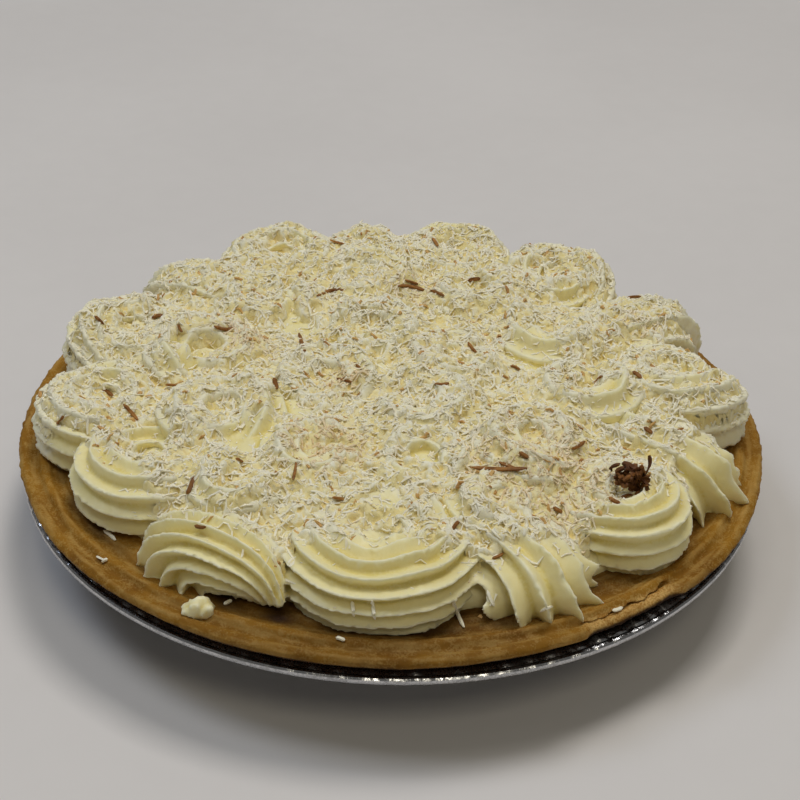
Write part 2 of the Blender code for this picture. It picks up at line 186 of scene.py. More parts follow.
panel("main_panel", (0.15, 0.26), 0.80, 1.02, (1.0, 0.97, 0.93))
panel("window_light", (-0.58, 0.10), 0.90, 0.52, (0.72, 0.82, 1.0))
panel("front_lamp", (0.25, -0.68), 0.90, 0.28, (1.0, 0.93, 0.75))
panel("top_lamp", (-0.18, -0.05), 0.50, 0.18, (1.0, 0.98, 0.93))

# %% [markdown]
# Node helpers
#
# Materials are built from nodes, and a script that adds them one by one is hard to read. One helper adds a
# node and fills its sockets in one call, with plain values or with links from other nodes. Another starts
# a node group, which is a small reusable effect with named inputs and outputs. The last one gives a shader
# the three things that every finish here has: a colour, a gloss that wanders and a bump.

# %% Helpers for nodes and groups
def fill(tree, inputs, values):
    """Links a socket where its value is another node's socket, and else sets the plain value."""
    for key, value in values.items():
        if isinstance(value, bpy.types.NodeSocket):
            tree.links.new(value, inputs[key])
        else:
            inputs[key].default_value = value


def node(tree, kind, sockets=None, **settings):
    """Adds a node with its settings and fills its sockets."""
    made = tree.nodes.new("ShaderNode" + kind)
    for key, value in settings.items():
        setattr(made, key, value)
    fill(tree, made.inputs, sockets or {})
    return made


def new_group(name, inputs, outputs):
    """Starts a node group with (name, kind, value) inputs and (name, kind) outputs."""
    tree = bpy.data.node_groups.new(name, "ShaderNodeTree")
    for label, kind, value in inputs:
        socket = tree.interface.new_socket(label, in_out="INPUT", socket_type="NodeSocket" + kind)
        socket.default_value = value
    for label, kind in outputs:
        tree.interface.new_socket(label, in_out="OUTPUT", socket_type="NodeSocket" + kind)
    return tree, tree.nodes.new("NodeGroupInput").outputs, tree.nodes.new("NodeGroupOutput").inputs


def blend(tree, factor, first, second):
    """Mixes two colours by a mask."""
    return node(tree, "Mix", {0: factor, 6: first, 7: second}, data_type="RGBA").outputs[2]


def spread(tree, value, low, high, to_low=0.0, to_high=1.0):
    """Stretches a range of values onto another, easing at both ends."""
    sockets = {0: value, 1: low, 2: high, 3: to_low, 4: to_high}
    return node(tree, "MapRange", sockets, interpolation_type="SMOOTHSTEP").outputs[0]


def use_group(tree, group, sockets):
    """Places a node group in a material with its own values."""
    return node(tree, "Group", sockets, node_tree=group).outputs


def new_material(name, fixed):
    """A material whose shader has its unchanging values set on its own sockets."""
    made = bpy.data.materials.new(name)
    made.use_nodes = True
    shader = made.node_tree.nodes["Principled BSDF"].inputs
    fill(made.node_tree, shader, fixed)
    return made, made.node_tree, shader


def scale_of(tree, size):
    """The noise scale that gives features of a size in metres."""
    return node(tree, "Math", {0: 1.0, 1: size}, operation="DIVIDE").outputs[0]


def cloud(tree, scale, detail, roughness=0.5):
    """Noise at the object's own coordinates."""
    place = node(tree, "TexCoord").outputs["Object"]
    sockets = {"Vector": place, "Scale": scale, "Detail": detail, "Roughness": roughness}
    return node(tree, "TexNoise", sockets).outputs[0]


def kept(tree, name):
    """The values that the mesh keeps under a name."""
    return node(tree, "Attribute", attribute_name=name).outputs["Fac"]


def dress(tree, shader, colour, mask, gloss, bump):
    """Links a colour, a roughness between two values by a mask, and a bump of (strength, depth, height)."""
    strength, depth, height = bump
    raised = node(tree, "Bump", {"Strength": strength, "Distance": depth, "Height": height})
    fill(tree, shader, {"Base Color": colour, "Roughness": spread(tree, mask, 0, 1, *gloss),
                        "Normal": raised.outputs[0]})


# %% [markdown]
# Three effects that the finishes share
#
# Grain is two sizes of noise laid over each other: it gives pastry its crumb, foil its dull patches and
# coconut its dry fibre. Painted Relief Shade colours a surface by how far each point stands out of its
# surroundings: painted shade in grooves and hollows, a painted highlight on ridges, and in cream the yellow
# of light bounced between its walls. Toasting mixes a light and a dark colour in uneven patches, as an oven
# does. They put out colours, masks and heights only, and the shader itself stays in each material.

# %% Grain
grain, given, out = new_group(
    "Grain",
    [("Coarse Size", "Float", 0.004), ("Fine Size", "Float", 0.0008), ("Fine Share", "Float", 0.5)],
    [("Mask", "Float"), ("Height", "Float")])
coarse = cloud(grain, scale_of(grain, given["Coarse Size"]), 3.0)
fine = cloud(grain, scale_of(grain, given["Fine Size"]), 2.0)
both = node(grain, "Mix", {0: given["Fine Share"], 2: coarse, 3: fine}).outputs[0]
grain.links.new(spread(grain, both, 0.34, 0.66), out["Mask"])
grain.links.new(both, out["Height"])

# %% Painted Relief Shade
# Painted shade in hollows and a painted highlight on ridges.
painted_relief_shade, given, out = new_group(
    "Painted Relief Shade",
    [("Relief", "Float", 0.5), ("Hollow", "Color", (0.5, 0.4, 0.2, 1)), ("Face", "Color", (0.8, 0.7, 0.5, 1)),
     ("Ridge", "Color", (0.9, 0.9, 0.8, 1))],
    [("Color", "Color"), ("Ridge Mask", "Float")])
out_of_hollow = spread(painted_relief_shade, given["Relief"], 0.10, 0.58)
on_ridge = spread(painted_relief_shade, given["Relief"], 0.55, 1.0)
lower = blend(painted_relief_shade, out_of_hollow, given["Hollow"], given["Face"])
painted_relief_shade.links.new(blend(painted_relief_shade, on_ridge, lower, given["Ridge"]), out["Color"])
painted_relief_shade.links.new(on_ridge, out["Ridge Mask"])

# %% Toasting
toasting, given, out = new_group(
    "Toasting",
    [("Patch Size", "Float", 0.012), ("Amount", "Float", 0.5), ("Light", "Color", (0.6, 0.4, 0.2, 1)),
     ("Dark", "Color", (0.3, 0.15, 0.05, 1))],
    [("Color", "Color"), ("Mask", "Float")])
patches = cloud(toasting, scale_of(toasting, given["Patch Size"]), 4.0, 0.6)
start = node(toasting, "Math", {0: 0.85, 1: given["Amount"]}, operation="SUBTRACT").outputs[0]
lifted = node(toasting, "Math", {0: patches, 1: start}, operation="SUBTRACT").outputs[0]
mask = spread(toasting, lifted, -0.12, 0.30)
toasting.links.new(blend(toasting, mask, given["Light"], given["Dark"]), out["Color"])
toasting.links.new(mask, out["Mask"])
print("node groups:", [group.name for group in bpy.data.node_groups])

# %% [markdown]
# The table top
#
# The floor is a plain pale laminate. It is one large sheet with a very slight wander in its colour and its
# gloss, far larger than the pie, so that it looks like a real surface and not a flat fill.

# %% Floor
FLOOR_SIDE = 6.0

floor_finish, tree, shader = new_material("pale_table", {"Specular IOR Level": 0.3})
floor_grain = use_group(tree, grain, {"Coarse Size": 0.30, "Fine Size": 0.012, "Fine Share": 0.15})
floor_colour = blend(tree, floor_grain["Mask"], (0.73, 0.70, 0.675, 1), (0.76, 0.73, 0.705, 1))
fill(tree, shader, {"Base Color": floor_colour,
                    "Roughness": spread(tree, floor_grain["Mask"], 0, 1, 0.50, 0.58)})
half = FLOOR_SIDE / 2
floor = mesh_object("floor", [(-half, -half, 0), (half, -half, 0), (half, half, 0), (-half, half, 0)],
                    [(0, 1, 2, 3)], floor_finish)
print("floor side in m:", FLOOR_SIDE)

# %% [markdown]
# Turning a section round the axis
#
# The tin and the crust are both turned shapes, so one pair of helpers serves them. The first walks along
# the corners of a section and drops points at an even step, because a displaced surface needs points
# everywhere and not only at its corners. The second turns that section and lets a function move each point,
# which is where the pleats, ribs and crumbs come in. Others give noise for many points at once, and read and
# write a mesh's points as one array. The last two measure relief: each point is compared with the average of
# its neighbours a few steps away, and the result is kept as an attribute for the finishes.

# %% Helpers for turned pieces and for relief
def along(corners, step):
    """Points at an even step along straight runs between corners, with the corners eased."""
    points = []
    for (r0, z0), (r1, z1) in zip(corners, corners[1:]):
        parts = max(1, math.ceil(math.hypot(r1 - r0, z1 - z0) / step))
        points += [(r0 + (r1 - r0) * i / parts, z0 + (z1 - z0) * i / parts) for i in range(parts)]
    points.append(corners[-1])
    line = np.array(points)
    line[1:-1] = (line[:-2] + 2 * line[1:-1] + line[2:]) / 4
    return line


def in_space(radius, height, angle):
    """Points from their distance to the axis, their height and their angle."""
    return np.stack([radius * np.cos(angle), radius * np.sin(angle), height], axis=-1)


def turn(section, segments, move):
    """Turns a section about Z. move(radius, height, angle) returns the moved radius and height."""
    angle = np.linspace(0, 2 * math.pi, segments, endpoint=False)[None, :]
    radius, height = section[:, :1] + 0 * angle, section[:, 1:] + 0 * angle
    radius, height = move(radius, height, angle + 0 * radius)
    return in_space(radius, height, angle)


def angle_from(angle, start):
    """An angle measured from another, between minus and plus half a turn."""
    return (angle - start + math.pi) % (2 * math.pi) - math.pi


def crumple(points, size, octaves=1):
    """A noise value for each of many points."""
    flat = points.reshape(-1, 3) / size
    values = [noise.fractal(Vector(p), 1.0, 2.0, octaves) for p in flat.tolist()]
    return np.array(values).reshape(points.shape[:-1])


def face_out(obj):
    """Makes the faces of a closed mesh point outwards, by the sign of its volume."""
    mesh = obj.data
    mesh.calc_loop_triangles()
    corners = np.zeros(len(mesh.loop_triangles) * 3, np.int32)
    mesh.loop_triangles.foreach_get("vertices", corners)
    a, b, c = positions(mesh)[corners.reshape(-1, 3)].transpose(1, 0, 2)
    if np.einsum("ij,ij->", a, np.cross(b, c)) < 0:
        mesh.flip_normals()


def positions(mesh):
    flat = np.zeros(len(mesh.vertices) * 3, np.float32)
    mesh.vertices.foreach_get("co", flat)
    return flat.reshape(-1, 3).astype(float)


def normals_of(mesh):
    flat = np.zeros(len(mesh.vertices) * 3, np.float32)
    mesh.vertex_normals.foreach_get("vector", flat)
    return flat.reshape(-1, 3)


def place_points(mesh, points):
    mesh.vertices.foreach_set("co", points.astype(np.float32).ravel())
    mesh.update()


def eased(mesh, points, rounds):
    """Each point drawn towards its neighbours, round after round."""
    ends = np.zeros(len(mesh.edges) * 2, np.int32)
    mesh.edges.foreach_get("vertices", ends)
    a, b = ends.reshape(-1, 2).T
    count = np.bincount(np.concatenate([a, b]), minlength=len(points))[:, None]
    for _ in range(rounds):
        total = np.zeros_like(points)
        for axis in range(3):
            total[:, axis] = (np.bincount(a, points[b, axis], len(points))
                              + np.bincount(b, points[a, axis], len(points)))
        points = (points + total / np.maximum(count, 1)) / 2
    return points


def keep_relief(obj, rounds):
    """Stores how far each point stands out of its surroundings: 0.5 is level, 0 and 1 are the extremes."""
    mesh = obj.data
    points = positions(mesh)
    apart = points - eased(mesh, points, rounds)
    stands_out = np.einsum("ij,ij->i", apart, normals_of(mesh).astype(float))
    full = np.percentile(np.abs(stands_out), 96)
    keep_values(obj, "relief", 0.5 + stands_out / full / 2)
    print(f"{obj.name}: relief of {1000 * full:.2f} mm")


def keep_values(obj, name, values):
    stored = obj.data.attributes.new(name, "FLOAT", "POINT")
    stored.data.foreach_set("value", np.clip(values, 0, 1).astype(np.float32))


# %% [markdown]
# The foil tin
#
# The real tin is pressed from thin foil. Pressing gathers the wall into pleats and leaves the flange full
# of fine wrinkles, each of which catches the light as a spark, and the edge is rolled into a bead. It could
# be a smooth pan with a bumpy finish, but the sparks come from real facets, so the wrinkles are made in the
# mesh: noise that is drawn out towards the edge, over the ends of the pleats. The foil's finish is a
# metal whose gloss and colour wander, with a very fine crumple in its bump; its colour is painted darker in
# the hollows of the wrinkles and lighter on their ridges, as painted shade and painted glints. Under the rim
# of the crust the foil is painted nearly black, a painted shadow of the overhanging crust.

# %% Foil tin
TIN_BASE = 0.0930
TIN_WALL = 0.1118
TIN_WALL_TOP = 0.0300
TIN_FLANGE = 0.1212
FLANGE_TOP = TIN_WALL_TOP + 0.0006
BEAD_AT = (0.1225, 0.0262)
BEAD_RADIUS = 0.0013
FOIL = 0.0004
PLEATS = 108
WRINKLE = 0.00042
TIN_SEGMENTS = 1440
# Reach of the painted shadow under the crust's rim.
RIM_SHADOW_TO = 0.1213

bead_turns = [math.radians(turned) for turned in range(120, -200, -30)]
bead = [(BEAD_AT[0] + BEAD_RADIUS * math.cos(turned), BEAD_AT[1] + BEAD_RADIUS * math.sin(turned))
        for turned in bead_turns]
inner_foil = [(0.030, FOIL), (TIN_BASE - 0.0006, FOIL), (TIN_WALL, TIN_WALL_TOP),
              (TIN_WALL + 0.0014, FLANGE_TOP), (TIN_FLANGE, FLANGE_TOP - 0.0030)]
outer_foil = [(TIN_WALL + 0.0016, FLANGE_TOP - FOIL - 0.0003), (TIN_WALL + FOIL, TIN_WALL_TOP - 0.0010),
              (TIN_BASE, 0), (0.030, 0)]
tin_section = np.concatenate([along(inner_foil[:3], 0.006), along(inner_foil[3:], 0.0012), np.array(bead),
                              along(outer_foil[:2], 0.0012), along(outer_foil[2:], 0.006)])


def wrinkle(radius, height, angle):
    """Pleats on the wall, and wrinkles on the flange and its bead."""
    on_wall = smooth((radius - TIN_BASE) / 0.004) * (radius < TIN_WALL + 0.001)
    on_flange = smooth((radius - TIN_WALL - 0.0010) / 0.0015)
    on_bead = smooth((radius - TIN_FLANGE) / 0.0008)
    round_the_rim = np.stack([np.cos(angle) * 42, np.sin(angle) * 42, radius / 0.0065], axis=-1)
    pleats = np.sin(PLEATS * angle + 0.6 * np.sin(9 * angle))
    fine = crumple(round_the_rim, 1.0, 2) + 0.5 * pleats
    rise = WRINKLE * fine * on_flange * (1 - 0.55 * on_bead)
    out = radius + FOIL * pleats * on_wall + 0.35 * WRINKLE * fine * on_bead
    return out, height + rise


tin = mesh_object("pressed_foil_tin", *skin(turn(tin_section, TIN_SEGMENTS, wrinkle)))
face_out(tin)
keep_relief(tin, rounds=4)
tin_points = positions(tin.data)
# Painted shadow: the foil under the crust's overhanging rim is marked to be painted nearly black.
rim_shadow = smooth((RIM_SHADOW_TO - np.hypot(tin_points[:, 0], tin_points[:, 1])) / 0.0022)
keep_values(tin, "painted_rim_shadow", rim_shadow * (tin_points[:, 2] > TIN_WALL_TOP - 0.004))

# %% Foil finish
foil_finish, tree, shader = new_material("crinkled_foil", {"Metallic": 1.0})
foil_grain = use_group(tree, grain, {"Coarse Size": 0.006, "Fine Size": 0.0007, "Fine Share": 0.55})
# Painted shade in the hollows of the wrinkles and painted glints on their ridges.
foil_relief_shade = use_group(tree, painted_relief_shade, {"Relief": kept(tree, "relief"), "Hollow": (0.16, 0.16, 0.17, 1),
                                          "Face": (0.42, 0.42, 0.43, 1), "Ridge": (0.90, 0.90, 0.91, 1)})
dull = blend(tree, foil_grain["Mask"], (0.50, 0.50, 0.51, 1), (0.92, 0.92, 0.93, 1))
unshadowed_foil = blend(tree, 0.5, foil_relief_shade["Color"], dull)
# Under the crust's rim the foil is painted nearly black, a painted shadow of the crust.
foil_colour = blend(tree, kept(tree, "painted_rim_shadow"), unshadowed_foil, (0.030, 0.022, 0.016, 1))
dress(tree, shader, foil_colour, foil_grain["Mask"], (0.34, 0.16), (0.5, 0.0003, foil_grain["Height"]))
tin.data.materials.append(foil_finish)
stands_for(tin, "foil", "foil_tin")

# %% [markdown]
# The crust
#
# A commercial crust is pressed in a mould: its rim has two low ribs with grooves between them, and a sharp
# edge that crumbles. Near the cream it lies in shade and bakes darker, and a piece of the edge has broken
# off at the front right and shows its flaky inside. The shape is turned from a fine section, then three
# sizes of noise make the wander of the rim, the pits of the crumb and the streaks that run round it.

# %% Crust shape
CRUST_RADIUS = 0.1250
RIB = 0.0010
CRUST_SEGMENTS = 720
CHIP_FROM, CHIP_TO = math.radians(-63), math.radians(-44)
CHIP_DEPTH = 0.0026
# Depths of the painted shade beside the cream, which is partly darker baking, and of the painted shade on the
# front.
CREAM_SHADOW_AND_BAKE_DEPTH = 0.60
CREAM_EDGE = 0.1165
FRONT_SHADE_DEPTH = 0.32

rim = [(0.1000, CRUST_TOP), (0.1100, CRUST_TOP), (0.1130, CRUST_TOP - 0.0006), (0.1148, CRUST_TOP - 0.0002),
       (0.1166, CRUST_TOP + RIB), (0.1180, CRUST_TOP + RIB), (0.1194, CRUST_TOP - 0.0004),
       (0.1206, CRUST_TOP - 0.0007), (0.1222, CRUST_TOP + 0.0002), (0.1238, CRUST_TOP + 0.0001),
       (CRUST_RADIUS, CRUST_TOP - 0.0010),
       (CRUST_RADIUS - 0.0002, CRUST_TOP - 0.0024), (CRUST_RADIUS - 0.0012, CRUST_TOP - 0.0034)]
below = [(TIN_WALL + 0.0022, TIN_WALL_TOP + 0.0022), (TIN_WALL - 0.0010, TIN_WALL_TOP),
         (TIN_BASE - 0.0015, FOIL + 0.0003), (0.0200, FOIL + 0.0003)]
crust_section = np.concatenate([[(0.020, CRUST_TOP), (0.060, CRUST_TOP)], along(rim, 0.00055),
                                along(below, 0.006)])


def streaks(radius, angle):
    """Noise drawn out round the rim, as the press leaves it."""
    return crumple(np.stack([np.cos(angle) * 9, np.sin(angle) * 9, radius / 0.0016], axis=-1), 1.0, 3)


def chip(radius, angle, ragged):
    """How much of the edge is broken off."""
    inside = smooth(angle_from(angle, CHIP_FROM) / 0.05) * smooth(angle_from(-angle, -CHIP_TO) / 0.05)
    return inside * smooth((radius - 0.1196 + ragged) / 0.0012)


def press(radius, height, angle):
    """The pressed rim wanders, crumbles and has lost a flake of its edge."""
    place = in_space(radius, height, angle)
    above_tin = height > TIN_WALL_TOP + 0.0015
    shown = smooth((radius - 0.096) / 0.006) * above_tin
    share = smooth((radius - 0.114) / 0.008) * above_tin
    wave = np.sin(3 * angle + 0.8) + 0.7 * np.sin(7 * angle) + 0.5 * np.sin(13 * angle + 2.0)
    edge = smooth((radius - 0.1205) / 0.003) * shown
    crumb = crumple(place, 0.0034, 3)
    pits = crumple(place, 0.0011, 2)
    bitten = chip(radius, angle, 0.0012 * crumb) * shown
    out = radius + share * 0.0003 * wave + edge * (0.00035 * crumb + 0.00020 * pits) - bitten * CHIP_DEPTH
    ragged = bitten * (0.0012 + 0.0007 * pits)
    up = height + share * 0.0002 * np.sin(5 * angle + 1.0) - ragged
    return out, up + shown * (0.00024 * crumb + 0.00016 * pits + 0.00030 * streaks(radius, angle))


crust = mesh_object("pressed_crust", *skin(turn(crust_section, CRUST_SEGMENTS, press)))
crust.data.shade_smooth()
face_out(crust)
keep_relief(crust, rounds=24)
crust_points = positions(crust.data)
crust_radius = np.hypot(crust_points[:, 0], crust_points[:, 1])
crust_angle = np.arctan2(crust_points[:, 1], crust_points[:, 0])
# Painted shade: under the lower lip, beside the cream, where it is a painted shadow of the cream with darker
# baking, and on the front, away from the lights.
under_lip_shade = smooth((CRUST_TOP - 0.0016 - crust_points[:, 2]) / 0.0012)
cream_shadow_and_bake = CREAM_SHADOW_AND_BAKE_DEPTH * smooth((CREAM_EDGE - crust_radius) / 0.005) * (0.7 + crumple(crust_points, 0.010))
from_front = np.abs(angle_from(crust_angle, BIG_ROSETTE_ANGLE))
front_shade = FRONT_SHADE_DEPTH * smooth(1 - from_front / math.radians(50))
keep_values(crust, "painted_shade_and_bake", np.maximum(under_lip_shade, cream_shadow_and_bake + front_shade))
keep_values(crust, "streaks", 0.5 + 0.9 * streaks(crust_radius, crust_angle))
on_top = crust_points[:, 2] > CRUST_TOP - 0.0034
keep_values(crust, "broken", chip(crust_radius + 0.0014, crust_angle, 0.0) * on_top)

# %% [markdown]
# The crust's finish
#
# Baked pastry isn't one brown. Its ribs are painted paler and its grooves darker, a painted highlight and
# painted shade; the oven has left broad patches, and flour and fat give it a fine crumb. Painted Relief Shade
# colours ribs and grooves, Toasting lays the patches over them, and Grain gives the crumb its bump and breaks
# up the gloss. Three more things are kept in the mesh as attributes: the pale streaks that run round the rim,
# the broken place with its paler inside, and the painted shade under the lower lip, beside the cream, where
# it is a painted shadow of the cream together with darker baking, and on the front, away from the lights.

# %% Crust finish
crust_finish, tree, shader = new_material("baked_pastry", {"Subsurface Weight": 0.08,
                                                           "Subsurface Radius": (0.004, 0.002, 0.001),
                                                           "Subsurface Scale": 0.6,
                                                           "Specular IOR Level": 0.10})
crumb_grain = use_group(tree, grain, {"Coarse Size": 0.0030, "Fine Size": 0.0006, "Fine Share": 0.5})
# Painted shade in the grooves and a painted highlight on the ribs.
crust_relief_shade = use_group(tree, painted_relief_shade, {"Relief": kept(tree, "relief"), "Hollow": (0.085, 0.030, 0.002, 1),
                                           "Face": (0.33, 0.160, 0.018, 1), "Ridge": (0.68, 0.42, 0.100, 1)})
baked = use_group(tree, toasting, {"Patch Size": 0.020, "Amount": 0.36, "Light": crust_relief_shade["Color"],
                                   "Dark": (0.19, 0.080, 0.010, 1)})
streaked = spread(tree, kept(tree, "streaks"), 0.35, 1.0, 0.0, 0.40)
speckled = spread(tree, crumb_grain["Mask"], 0.35, 1.0, 0.0, 0.45)
flaky = blend(tree, crumb_grain["Mask"], (0.34, 0.15, 0.020, 1), (0.68, 0.44, 0.150, 1))
crust_colour = blend(tree, streaked, baked["Color"], (0.52, 0.33, 0.100, 1))
crust_colour = blend(tree, speckled, crust_colour, (0.50, 0.32, 0.095, 1))
crust_colour = blend(tree, kept(tree, "broken"), crust_colour, flaky)
# Painted shade under the lip, beside the cream (with darker baking there) and at the front.
crust_colour = blend(tree, kept(tree, "painted_shade_and_bake"), crust_colour, (0.030, 0.012, 0.003, 1))
dress(tree, shader, crust_colour, crumb_grain["Mask"], (0.74, 0.52), (0.6, 0.0004, crumb_grain["Height"]))
crust.data.materials.append(crust_finish)
stands_for(crust, "pastry", "crust")

# %% [markdown]
# Where the cream was piped
#
# The baker piped two kinds of swirl. A rosette is a rope of cream wound outwards in nearly two turns, and a
# shell is a short push that swells up, folds over and is drawn back to a tail. The front swirls stand where
# the photograph shows them, and loops fill the hidden back and the middle. The numbers are those of the
# solid, so that every swirl lies on its own plain form. Only the shell on the right and the two swirls
# behind it stand a few millimetres further out, where the photograph's outline nearly reaches the crust's
# edge.

# %% Border and inner swirls
Swirl = namedtuple("Swirl", "kind angle out reach rise heading hand")
Section = namedtuple("Section", "at across up wide high")
Ring = namedtuple("Ring", "count first out reach")
FRONT_RISE = 0.0200
BACK_RISE = 0.0255
MIDDLE_RISE = 0.0265
INNER_RINGS = (Ring(10, math.radians(-151), 0.063, 0.0235), Ring(4, math.radians(-70), 0.024, 0.0245))
DRAW_IN = 0.0130
BACK_FROM = 9.0
BACK_APART = 22.2
BROUGHT_ROUND = 5.0
PUSHED_OUT = 0.0030
WIDENED = 0.0014
BACK_KINDS = ("rosette", "shell", "rosette", "rosette", "shell", "rosette", "shell", "rosette")


def border_swirls(rng):
    deg = math.radians
    swirls = [Swirl("rosette", deg(-91.4), 0.0842, 0.0325, FRONT_RISE, deg(95), -1),
              Swirl("shell", deg(-127.0), 0.1045, 0.0130, FRONT_RISE, deg(-34), 1),
              Swirl("rosette", deg(-147.0), 0.0870, 0.0275, FRONT_RISE, deg(60), 1),
              Swirl("shell", deg(-64.5), 0.1060, 0.0190, FRONT_RISE, deg(114), 1),
              Swirl("rosette", deg(-41.5), 0.0935, 0.0230, 0.0210, deg(140), -1),
              Swirl("shell", deg(-21.5), 0.1078, 0.0200, 0.0220, deg(142), 1),
              Swirl("rosette", deg(-168.0), 0.0940, 0.0250, 0.0225, deg(20), 1)]
    for i, kind in enumerate(BACK_KINDS):
        brought_round = BROUGHT_ROUND * max(0.0, 1 - 0.3 * i)
        angle = deg(BACK_FROM + BACK_APART * i - brought_round + rng.uniform(-1.5, 1.5))
        out, reach = (0.1060, 0.0190) if kind == "shell" else (0.0930, 0.0255)
        out += PUSHED_OUT * (i < 2)
        reach += WIDENED * (i == 0)
        heading = angle + math.pi if kind == "shell" else rng.uniform(0, 2 * math.pi)
        rise = BACK_RISE + rng.uniform(-0.0015, 0.0010)
        swirls.append(Swirl(kind, angle, out, reach, rise, heading, rng.choice((-1, 1))))
    return swirls


def inner_swirls(rng):
    swirls = []
    for ring in INNER_RINGS:
        for i in range(ring.count):
            angle = ring.first + 2 * math.pi * i / ring.count
            apart = abs(angle_from(angle, BIG_ROSETTE_ANGLE))
            drawn_in = smooth(1 - apart / math.radians(60)) * (ring is INNER_RINGS[0])
            reach = ring.reach - 0.0020 * drawn_in + rng.uniform(-0.0015, 0.0015)
            rise = MIDDLE_RISE + rng.uniform(-0.0020, 0.0005) - 0.0030 * drawn_in
            start = rng.uniform(0, 2 * math.pi)
            out = ring.out - DRAW_IN * drawn_in
            swirls.append(Swirl("rosette", angle, out, reach, rise, start, rng.choice((-1, 1))))
    for side in (-1, 1):
        angle = BIG_ROSETTE_ANGLE + side * math.radians(30)
        swirls.append(Swirl("rosette", angle, out=0.0790, reach=0.0180, rise=MIDDLE_RISE - 0.0050,
                            heading=0.0, hand=side))
    return swirls


piping = random.Random(SEED)
border = border_swirls(piping)
inner = inner_swirls(piping)
print("swirls on the border and inside it:", len(border), len(inner))

# %% [markdown]
# The path of the nozzle
#
# Each swirl becomes a row of sections, and each section says where the nozzle was, which way it faced and
# how thick the rope was there. A rosette's rope grows as it starts and thins as it ends. A shell is piped
# with a push forwards and up and then a pull back and down. Its sections stand like the pages of a book
# that is opened over a hinge on the crust: they swing from the fat front end to the drawn-out tail, and that
# swing bends the crests into nested arcs.

# %% Paths of rosettes and shells
ROSETTE_WIDE = 0.46
ROSETTE_HIGH = 0.58
ROSETTE_TURNS = 1.75
ROSETTE_STEPS = 150
SHELL_FRONT = 0.62
SHELL_HINGE = 1.10
SHELL_TAIL = 0.75
SHELL_SQUARE = 2.7
SHELL_LEAN = 0.22
SHELL_STEPS = 110


def middle_of(swirl):
    return Vector((swirl.out * math.cos(swirl.angle), swirl.out * math.sin(swirl.angle), 0))


def rosette(swirl):
    lobe = swirl.reach * ROSETTE_WIDE
    high = swirl.rise * ROSETTE_HIGH
    ring = swirl.reach - lobe
    sections = []
    for i in range(ROSETTE_STEPS + 1):
        turned = ROSETTE_TURNS * i / ROSETTE_STEPS
        angle = swirl.heading + swirl.hand * 2 * math.pi * (turned - ROSETTE_TURNS)
        grown = float(smooth(turned / 1.2))
        tail = float(smooth((turned - ROSETTE_TURNS + 0.35) / 0.35))
        size = (0.72 + 0.28 * grown) * (1 - 0.6 * tail)
        side = Vector((math.cos(angle), math.sin(angle), 0))
        lie = swirl.rise - high - 0.0035 * (1 - grown) - 0.35 * swirl.rise * tail
        at = middle_of(swirl) + side * ring * (0.12 + 0.88 * grown + 0.10 * tail)
        at.z = CRUST_TOP + max(lie, high * size * 0.55)
        sections.append(Section(at, side, Vector((0, 0, 1)), lobe * size, high * size))
    return sections


def shell(swirl):
    """Sections that swing over a hinge on the crust, from the fat front end to the drawn-out tail."""
    back = Vector((math.cos(swirl.heading), math.sin(swirl.heading), 0))
    across = Vector((-back.y, back.x, 0))
    sections = []
    for i in range(SHELL_STEPS + 1):
        swing = math.pi * (1.02 - 0.94 * i / SHELL_STEPS)
        past = max(0.0, 1 - swing / (math.pi / 2))
        length = SHELL_FRONT + SHELL_HINGE if swing > math.pi / 2 else SHELL_TAIL
        outline = abs(math.cos(swing) / length) ** SHELL_SQUARE + abs(math.sin(swing)) ** SHELL_SQUARE
        size = swirl.rise * outline ** (-1 / SHELL_SQUARE) / 2
        spoke = back * math.cos(swing) + Vector((0, 0, math.sin(swing)))
        at = middle_of(swirl) + back * (SHELL_HINGE * swirl.rise + 0.5 * swirl.reach * past) + spoke * size
        at += across * (SHELL_LEAN * swirl.rise * math.sin(swing))
        at.z += CRUST_TOP - 0.0006
        wide = swirl.reach * (1 - 0.82 * float(smooth(past * 1.05)))
        sections.append(Section(at, across, spoke, wide, size))
    return sections


print("sections in a rosette and in a shell:", ROSETTE_STEPS + 1, SHELL_STEPS + 1)

# %% [markdown]
# Piped cream
#
# A star nozzle leaves sharp crests with wide, hollow valleys between them. Here a star section is swept
# along each path, with a slow tremble of the hand. The ropes overlap at first, so a voxel remesh melts them
# into one skin, as soft cream melts where it touches. Then two sizes of noise roughen it, most of all on the
# crests, where real cream tears. The relief is measured on the even mesh, and the mesh is thinned last.

# %% Ropes of cream
NOZZLE_POINTS = 11
STAR_STEPS = 8
TEAR_SIZE = 0.0032
GROOVE = 0.27
CREST = 1.15
FOOT = 0.35
TREMBLE = 0.0012
TREMBLE_SIZE = 0.011
MELT_STEP = 0.0005
BORDER_TORN = 0.00050
BORDER_TRIANGLES = 150000
DAB_AT = Vector((-0.0527, -0.1060, 0.0362))
DAB_RADII = np.array([0.0048, 0.0034, 0.0032])
DAB_GRAIN = 0.0016
Star = namedtuple("Star", "points groove twist torn")
PLAIN_STAR = Star(NOZZLE_POINTS, GROOVE, 0.0, 0.03)


